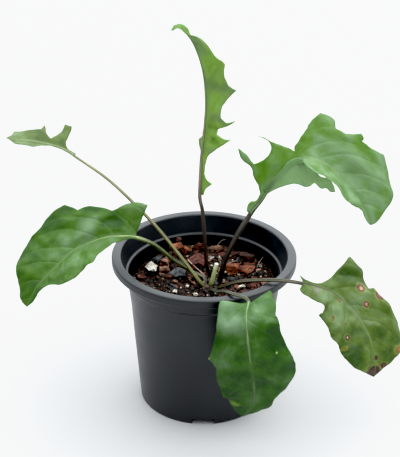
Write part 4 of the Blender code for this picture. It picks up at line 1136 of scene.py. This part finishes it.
def rounded(profile, radius):
    """The profile with each corner cut by a short arc of the given size."""
    line = [profile[0]]
    for before, corner, after in zip(profile, profile[1:], profile[2:]):
        before, corner, after = (Vector(p) for p in (before, corner, after))
        back, on = before - corner, after - corner
        size = min(radius, back.length * 0.45, on.length * 0.45)
        start, end = corner + back.normalized() * size, corner + on.normalized() * size
        for t in (0, 0.25, 0.5, 0.75, 1):
            line.append(tuple(start.lerp(corner, t).lerp(corner.lerp(end, t), t)))
    return line + [profile[-1]]


def wall_radius(height):
    """Outside radius of the tapered wall."""
    return FOOT_RADIUS + (WALL_TOP_RADIUS - FOOT_RADIUS) * height / WALL_TOP_HEIGHT


def pot():
    """The moulded pot: foot, raised drainage channel, tapered wall, collar and flat rim."""
    lip_foot = POT_HEIGHT - LIP_HEIGHT
    channel_floor = CHANNEL_HEIGHT + FLOOR
    step = COLLAR_FOOT_HEIGHT - 4
    rim_inside = RIM_RADIUS - RIM_FLAT
    outside = [
        (0, 0), (CENTRE_DISC_RADIUS, 0), (CENTRE_DISC_RADIUS + 2, CHANNEL_HEIGHT),
        (FOOT_RADIUS - WALL - 1.2, CHANNEL_HEIGHT), (FOOT_RADIUS - WALL - 1, 0),
        (FOOT_RADIUS - 0.4, 0), (wall_radius(1), 1),
        (wall_radius(WALL_TOP_HEIGHT), WALL_TOP_HEIGHT),
        (SHELF_RADIUS + WALL - 0.6, step - 1.5), (COLLAR_FOOT_RADIUS + WALL - 0.2, step + 1.5),
        (rim_inside - 1 + WALL / 2, lip_foot), (RIM_RADIUS - 0.6, lip_foot),
        (RIM_RADIUS, lip_foot + 1), (RIM_RADIUS, POT_HEIGHT - 1), (RIM_RADIUS - 0.9, POT_HEIGHT),
    ]
    inside = [
        (rim_inside + 0.8, POT_HEIGHT), (rim_inside, POT_HEIGHT - 0.8),
        (COLLAR_FOOT_RADIUS - 0.6, COLLAR_FOOT_HEIGHT),
        (SHELF_RADIUS + 0.2, COLLAR_FOOT_HEIGHT - 0.3),
        (SHELF_RADIUS - 0.1, COLLAR_FOOT_HEIGHT - 1), (SHELF_RADIUS - 0.9, step - 1),
        (WALL_TOP_RADIUS - WALL, WALL_TOP_HEIGHT),
        (wall_radius(channel_floor) - WALL, channel_floor),
        (CENTRE_DISC_RADIUS, channel_floor), (CENTRE_DISC_RADIUS - 2, FLOOR), (0, FLOOR),
    ]
    points, rings = lathe(rounded(outside + inside, CORNER_SIZE), POT_SEGMENTS)
    faces = ring_faces(rings, POT_SEGMENTS)
    obj = new_piece("pot_fine", points, faces, pot_material(), ["pot"],
                    sharp=POT_SHARP)
    cut(obj, [foot_notch(k) for k in range(NOTCHES)] + [drain_hole(k) for k in range(DRAIN_HOLES)])


def cut(obj, cutters):
    """Takes the cutters out of the object and removes them."""
    for cutter in cutters:
        boolean = obj.modifiers.new("Cut", "BOOLEAN")
        boolean.operation = "DIFFERENCE"
        boolean.solver = "EXACT"
        boolean.object = cutter
    bpy.context.view_layer.update()
    depsgraph = bpy.context.evaluated_depsgraph_get()
    mesh = bpy.data.meshes.new_from_object(obj.evaluated_get(depsgraph))
    obj.modifiers.clear()
    obj.data = mesh
    mesh.set_sharp_from_angle(angle=math.radians(POT_SHARP))
    for cutter in cutters:
        bpy.data.objects.remove(cutter, do_unlink=True)


def foot_notch(k):
    """A box through the foot, below the channel's floor."""
    bpy.ops.mesh.primitive_cube_add(size=1)
    cutter = bpy.context.object
    cutter.dimensions = (8 * MM, NOTCH_WIDTH * MM, 2 * NOTCH_HEIGHT * MM)
    angle = 2 * math.pi * k / NOTCHES + math.pi / 2
    cutter.rotation_euler.z = angle
    cutter.location = (*polar(FOOT_RADIUS * MM, angle), 0)
    return cutter


def drain_hole(k):
    place = polar(DRAIN_HOLE_RING * MM, 2 * math.pi * (k + 0.5) / DRAIN_HOLES)
    bpy.ops.mesh.primitive_cylinder_add(vertices=32, radius=DRAIN_HOLE_RADIUS * MM, depth=6 * MM,
                                        location=(*place, (CHANNEL_HEIGHT + FLOOR / 2) * MM))
    return bpy.context.object


def pot_material():
    """Satin black moulded plastic with a thin film of dust and faint scuffs."""
    paint = Paint("pot_black", 0.4, 0.55)
    cloud = paint.noise(22, 4)
    scuff = paint.span(paint.noise(60, 5, (1, 1, 7), distortion=0.6), 0.60, 0.75)
    dust = paint.math("ADD", paint.span(cloud, 0.4, 0.75, 0.0, 0.35), scuff * 0.25, True)
    colour = paint.mix(dust, (0.0050, 0.0062, 0.0080), (0.021, 0.026, 0.033))
    roughness = paint.span(cloud, 0.3, 0.7, 0.33, 0.43) + scuff * 0.12
    height = paint.noise(900, 2) * 0.4 + paint.noise(14, 2, (1, 1, 2.5))
    return paint.finish(colour, height, 0.00025, 0.35, roughness)


# Growing mix

def soil_height(x, y):
    """Height of the mix: higher at the back, dipped round the crown, lumpy by formula."""
    lumps = (math.sin(0.21 * x + 1.3) * math.cos(0.17 * y - 0.4)
             + 0.6 * math.sin(0.37 * x - 0.29 * y))
    dip = CROWN_DIP * math.exp(-((x - CROWN.x) ** 2 + (y - CROWN.y) ** 2) / CROWN_DIP_WIDTH ** 2)
    return SOIL_HEIGHT + SOIL_SLOPE * y + SOIL_LUMP * lumps - dip


def ground(x, y):
    """The mix with its crumbly fine relief."""
    place = Vector((x, y, 0))
    return soil_height(x, y) + sum(high * noise.noise(place / size) for high, size in SOIL_GRAIN)


def soil():
    """A crumbly disc on a plain body that fills the pot."""
    rings = round(SOIL_EDGE / SOIL_STEP)
    field = [(0.0, 0.0)]
    for ring in range(1, rings + 1):
        radius = SOIL_EDGE * ring / rings
        count = round(2 * math.pi * radius / SOIL_STEP)
        field += [polar(radius, 2 * math.pi * (k + 0.5 * (ring % 2)) / count)
                  for k in range(count)]
    rim = list(range(len(field) - count, len(field)))
    spots, faces = triangles(field, rim, 1e-6)
    points = [(x, y, ground(x, y)) for x, y in spots]
    for radius, height in ((SOIL_WAIST, WALL_TOP_HEIGHT),
                           (wall_radius(8) - 2, CHANNEL_HEIGHT + FLOOR + GAP)):
        now = list(range(len(points), len(points) + count))
        for x, y, _ in [points[i] for i in rim]:
            length = math.hypot(x, y)
            points.append((x * radius / length, y * radius / length, height))
        faces += [(now[k], now[(k + 1) % count], rim[(k + 1) % count], rim[k])
                  for k in range(count)]
        rim = now
    faces.append(tuple(rim[::-1]))
    new_piece("soil_fine", points, faces, soil_material(), ["soil"])


def soil_material():
    paint = Paint("mix_dark", 0.9, 0.25)
    coarse = paint.noise(260, 5)
    colour = paint.ramp(paint.span(coarse, 0.25, 0.75), [
        (0.0, (0.004, 0.003, 0.003)), (0.5, (0.014, 0.009, 0.007)),
        (0.8, (0.045, 0.024, 0.015)), (1.0, (0.10, 0.055, 0.035))])
    return paint.finish(colour, coarse + paint.cells(700, "F1") * 0.6, 0.0012, 0.9)


def strewn(name, parts, paint, grain, look, sharp=40):
    """One piece of many small parts, each (points, faces, tone); the tone picks its colour."""
    points, faces, tones = [], [], []
    for made, made_faces, tone in parts:
        faces += [tuple(i + len(points) for i in face) for face in made_faces]
        points += made
        tones += [tone] * len(made)
    colour = paint.ramp(paint.attribute("tone"), look.stops, look.steps)
    colour = paint.shaded(colour, paint.span(grain, 0.3, 0.7, *look.shade))
    material = paint.finish(colour, grain, *look.bump)
    new_piece(name, points, faces, material, (), {"tone": tones}, sharp)


def pebble(rng, size):
    """A small lump: a twisted, squashed icosphere with its corners moved."""
    bm = bmesh.new()
    bmesh.ops.create_icosphere(bm, subdivisions=1, radius=size / 2)
    squash = Vector((rng.uniform(0.7, 1.2), rng.uniform(0.6, 1.0), rng.uniform(0.5, 0.9)))
    turned = Matrix.Rotation(rng.uniform(0, 6.3), 3, Vector([rng.gauss(0, 1) for _ in range(3)]))
    points = [turned @ (v.co * rng.uniform(0.72, 1.15) * squash) for v in bm.verts]
    faces = [tuple(v.index for v in f.verts) for f in bm.faces]
    bm.free()
    return points, faces


def flake(rng, size):
    """A thin chip with a ragged outline and a domed or hollow face."""
    count, long = rng.randint(6, 9), rng.uniform(1.2, 2.4)
    thick, dome = rng.uniform(0.35, 0.9), rng.uniform(-0.12, 0.2) * size
    turned = (Matrix.Rotation(rng.uniform(0, 6.3), 3, "Z")
              @ Matrix.Rotation(rng.gauss(0, 0.35), 3, "X")
              @ Matrix.Rotation(rng.gauss(0, 0.25), 3, "Y"))
    outline = [(size / 2 * rng.uniform(0.65, 1.1),
                2 * math.pi * (k + rng.uniform(-0.3, 0.3)) / count) for k in range(count)]
    points, rings = [], []
    for share, height in ((0.0, thick + dome), (0.85, thick), (1.0, 0.3 * thick), (0.9, -thick),
                          (0.0, -thick + dome)):
        ring = outline if share else [(0, 0)]
        rings.append(list(range(len(points), len(points) + len(ring))))
        for radius, angle in ring:
            x, y = polar(radius * share, angle)
            points.append(Vector((x * long ** 0.5, y / long ** 0.5,
                                  height + rng.uniform(-0.12, 0.12))))
    return [turned @ p for p in points], ring_faces(rings[::-1], count)


def crumbs():
    """Thousands of small grains strewn on the mix."""
    rng = random.Random(11)
    parts = []
    for _ in range(CRUMBS):
        angle = rng.uniform(0, 2 * math.pi)
        x, y = polar(CRUMB_FIELD * math.sqrt(rng.random()), angle)
        tone = rng.random()
        size = min(CRUMB_LIMIT, rng.lognormvariate(0.50, 0.45))
        if tone > PERLITE_TONE:
            size = min(PERLITE_LIMIT, 0.7 * size)
        made, faces = pebble(rng, size)
        parts.append((moved(made, x, y, ground(x, y) + 0.22 * size), faces, tone))
    paint = Paint("crumb_mix", 0.85, 0.3)
    strewn("mix_crumbs", parts, paint, paint.noise(900, 3), CRUMB_LOOK, 50)


def flakes():
    """Thin broken flakes of bark strewn on the mix, most of them towards the back."""
    rng = random.Random(5)
    parts = []
    while len(parts) < FLAKES:
        angle = rng.uniform(0, 2 * math.pi)
        x, y = polar(FLAKE_FIELD * math.sqrt(rng.random()), angle)
        wanted = 0.25 + 0.75 * (y + FLAKE_FIELD) / (2 * FLAKE_FIELD)
        if rng.random() > wanted or math.hypot(x - CROWN.x, y - CROWN.y) < CROWN_CLEARANCE:
            continue
        made, faces = flake(rng, min(FLAKE_LIMIT, rng.lognormvariate(1.45, 0.35)))
        parts.append((moved(made, x, y, ground(x, y) + 0.8), faces, rng.random()))
    paint = Paint("flake_mix", 0.75, 0.35)
    fibre = paint.noise(420, 4, (0.5, 1.4, 1.0), distortion=0.5)
    strewn("mix_flakes", parts, paint, fibre, FLAKE_LOOK, 30)


def straws():
    """Dry straws and twigs that lie on the mix or lean on the wall."""
    parts = []
    for k, (start, end, sag, radius) in enumerate(STRAWS):
        share = np.linspace(0, 1, 13)
        path = np.outer(1 - share, start) + np.outer(share, end)
        path[:, 2] -= sag * 4 * share * (1 - share)
        path += np.column_stack([field_noise(path, 6, k + shift) for shift in (1, 2, 3)]) * 0.5
        ups = carried_frames(unit(np.gradient(path, axis=0)), (0.1, 0.2, 1))
        made, faces, _ = swept(path, ups, radius * (1 - 0.4 * share), share, 0 * share)
        parts.append((made.tolist(), faces, (k * 0.37 + 0.9) % 1))
    paint = Paint("straw_dry", 0.6)
    strewn("mix_straws", parts, paint, paint.noise(500, 3), STRAW_LOOK)


def moved(points, x, y, z):
    return [(p.x + x, p.y + y, p.z + z) for p in points]


# Loose pieces

def rough_chip(node, material, cuts, depth, grain, seed, rounds=2, height=1.0):
    """A finer copy of a CAD piece with a broken, layered surface cut into it."""
    bm = bmesh.new()
    bm.from_mesh(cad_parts[node].data)
    bmesh.ops.remove_doubles(bm, verts=bm.verts, dist=1e-6)
    bmesh.ops.triangulate(bm, faces=bm.faces)
    bmesh.ops.subdivide_edges(bm, edges=bm.edges, cuts=cuts, use_grid_fill=True)
    for _ in range(rounds):
        bmesh.ops.smooth_vert(bm, verts=bm.verts, factor=0.5)
    foot = min(vert.co.z for vert in bm.verts)
    for vert in bm.verts:
        vert.co.z = foot + (vert.co.z - foot) * height
    bm.normal_update()
    shift = Vector((seed * 5.3, seed * 2.9, seed * 1.7))
    for vert in bm.verts:
        place = Vector([c / MM / g for c, g in zip(vert.co, grain)]) + shift
        layer = 1 - abs(noise.noise(place))
        fine = noise.noise(place * 2.7)
        vert.co -= vert.normal * depth * MM * (0.6 * layer ** 2 + 0.05 + 0.35 * fine)
    mesh = bpy.data.meshes.new(node + "_fine")
    bm.to_mesh(mesh)
    bm.free()
    return add_piece(node + "_fine", mesh, material, [node], 38)


def bark_material(name, dark, middle, light):
    """Fibrous, layered bark with dark seams and worn lighter ridges."""
    paint = Paint(name, 0.75, 0.3)
    fibre = paint.noise(300, 5, (0.35, 1.6, 1.6), distortion=0.4)
    tone = fibre * 0.65 + paint.noise(160, 3) * 0.35
    colour = paint.ramp(paint.span(tone, 0.36, 0.66),
                        [(0.0, dark), (0.40, middle), (0.75, middle), (1.0, light)])
    return paint.finish(colour, fibre, 0.0009, 0.85)


def loose_pieces():
    barks = {name: bark_material(name, *colours) for name, colours in BARKS.items()}
    for seed, (node, bark) in enumerate(BARK_PIECES.items(), 1):
        rough_chip(node, barks[bark], 7, 1.1, (5.0, 1.6, 1.3), seed,
                   height=FLATTENED.get(node, 1.0))
    paint = Paint("charcoal_slate", 0.6, 0.4)
    tone = paint.noise(330, 5)
    colour = paint.ramp(paint.span(tone, 0.3, 0.7), [
        (0.0, (0.010, 0.010, 0.011)), (0.6, (0.045, 0.048, 0.050)), (1.0, (0.12, 0.13, 0.14))])
    slate = paint.finish(colour, tone, 0.0009, 0.8)
    for k in (1, 2, 3):
        rough_chip(f"charcoal_{k}", slate, 7, 0.7, (3.0, 3.0, 1.0), 20 + k)
    paint = Paint("perlite_white", 0.85, 0.3)
    pits = paint.cells(900, "F1")
    colour = paint.ramp(paint.span(pits * 0.5 + paint.noise(200, 3), 0.45, 0.95), [
        (0.0, (0.22, 0.18, 0.12)), (0.5, (0.50, 0.46, 0.37)), (1.0, (0.78, 0.75, 0.66))])
    white = paint.finish(colour, pits, 0.0007, 0.9)
    for k, node in enumerate(["perlite_large"] + [f"perlite_{n}" for n in range(1, 9)]):
        rough_chip(node, white, 5, 0.9, (2.2, 2.2, 2.2), 40 + k, rounds=9)


# Stage

def stage():
    """A pale floor, soft white surroundings and one large soft light from behind, above."""
    bm = bmesh.new()
    bmesh.ops.create_grid(bm, x_segments=8, y_segments=8, size=FLOOR_HALF)
    mesh = bpy.data.meshes.new("floor")
    bm.to_mesh(mesh)
    bm.free()
    floor = add_object("floor", mesh)
    paint = Paint("floor_white", 0.6, 0.2)
    mesh.materials.append(paint.finish(paint.mix(paint.noise(1.5, 2), *FLOOR_COLOURS)))
    floor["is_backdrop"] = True

    world = bpy.data.worlds.new("surroundings")
    world.use_nodes = True
    bpy.context.scene.world = world
    nodes, links = world.node_tree.nodes, world.node_tree.links
    way = nodes.new("ShaderNodeTexCoord")
    height = nodes.new("ShaderNodeVectorMath")
    height.operation = "DOT_PRODUCT"
    height.inputs[1].default_value = SKY_WAY
    links.new(way.outputs["Generated"], height.inputs[0])
    sky = nodes.new("ShaderNodeValToRGB")
    set_stops(sky, [(at, tuple(bright * c for c in SKY_TINT)) for at, bright in SKY_STOPS])
    links.new(height.outputs["Value"], sky.inputs["Fac"])
    links.new(sky.outputs["Color"], nodes["Background"].inputs["Color"])
    nodes["Background"].inputs["Strength"].default_value = SKY_STRENGTH

    area = bpy.data.lights.new("key", "AREA")
    area.shape = "SQUARE"
    area.size = KEY_SIZE
    area.energy = KEY_POWER
    area.color = KEY_COLOUR
    key = add_object("key", area)
    key.location = KEY_PLACE
    key.rotation_euler = (KEY_AIM - key.location).to_track_quat("-Z", "Y").to_euler()


def camera():
    """The photograph's viewpoint, from in front and above and rolled a little."""
    tilt, roll = math.radians(TILT), math.radians(ROLL)
    right, up = Vector((1, 0, 0)), Vector((0, math.sin(tilt), math.cos(tilt)))
    forward = Vector((0, math.cos(tilt), -math.sin(tilt)))
    across = right * math.cos(roll) + up * math.sin(roll)
    upright = up * math.cos(roll) - right * math.sin(roll)
    matrix = Matrix((across, upright, -forward)).transposed().to_4x4()
    matrix.translation = Vector(CAMERA_PLACE) * MM
    lens = bpy.data.cameras.new("camera")
    lens.lens = SENSOR * FOCAL_LENGTH / PICTURE_SIDE
    lens.sensor_width = SENSOR
    lens.sensor_fit = "AUTO"
    lens.clip_end = 50
    view = add_object("camera", lens)
    view.matrix_world = matrix
    bpy.context.scene.camera = view
    develop = bpy.context.scene.view_settings
    develop.view_transform = "Standard"
    develop.use_curve_mapping = True
    develop.curve_mapping.black_level = BLACK_LEVEL
    response = develop.curve_mapping.curves[3]
    for place in TONES:
        response.points.new(*place)
    response.points[-1].location = (1.0, WHITE)
    develop.curve_mapping.update()


def main():
    camera()
    pot()
    soil()
    crumbs()
    flakes()
    straws()
    crown()
    shoot()
    leaves()
    loose_pieces()
    stage()


main()
bpy.context.view_layer.update()
sizes = {"cad": cad_box, "visual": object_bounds()}
sizes = {key: [list(corner) for corner in box] for key, box in sizes.items()}
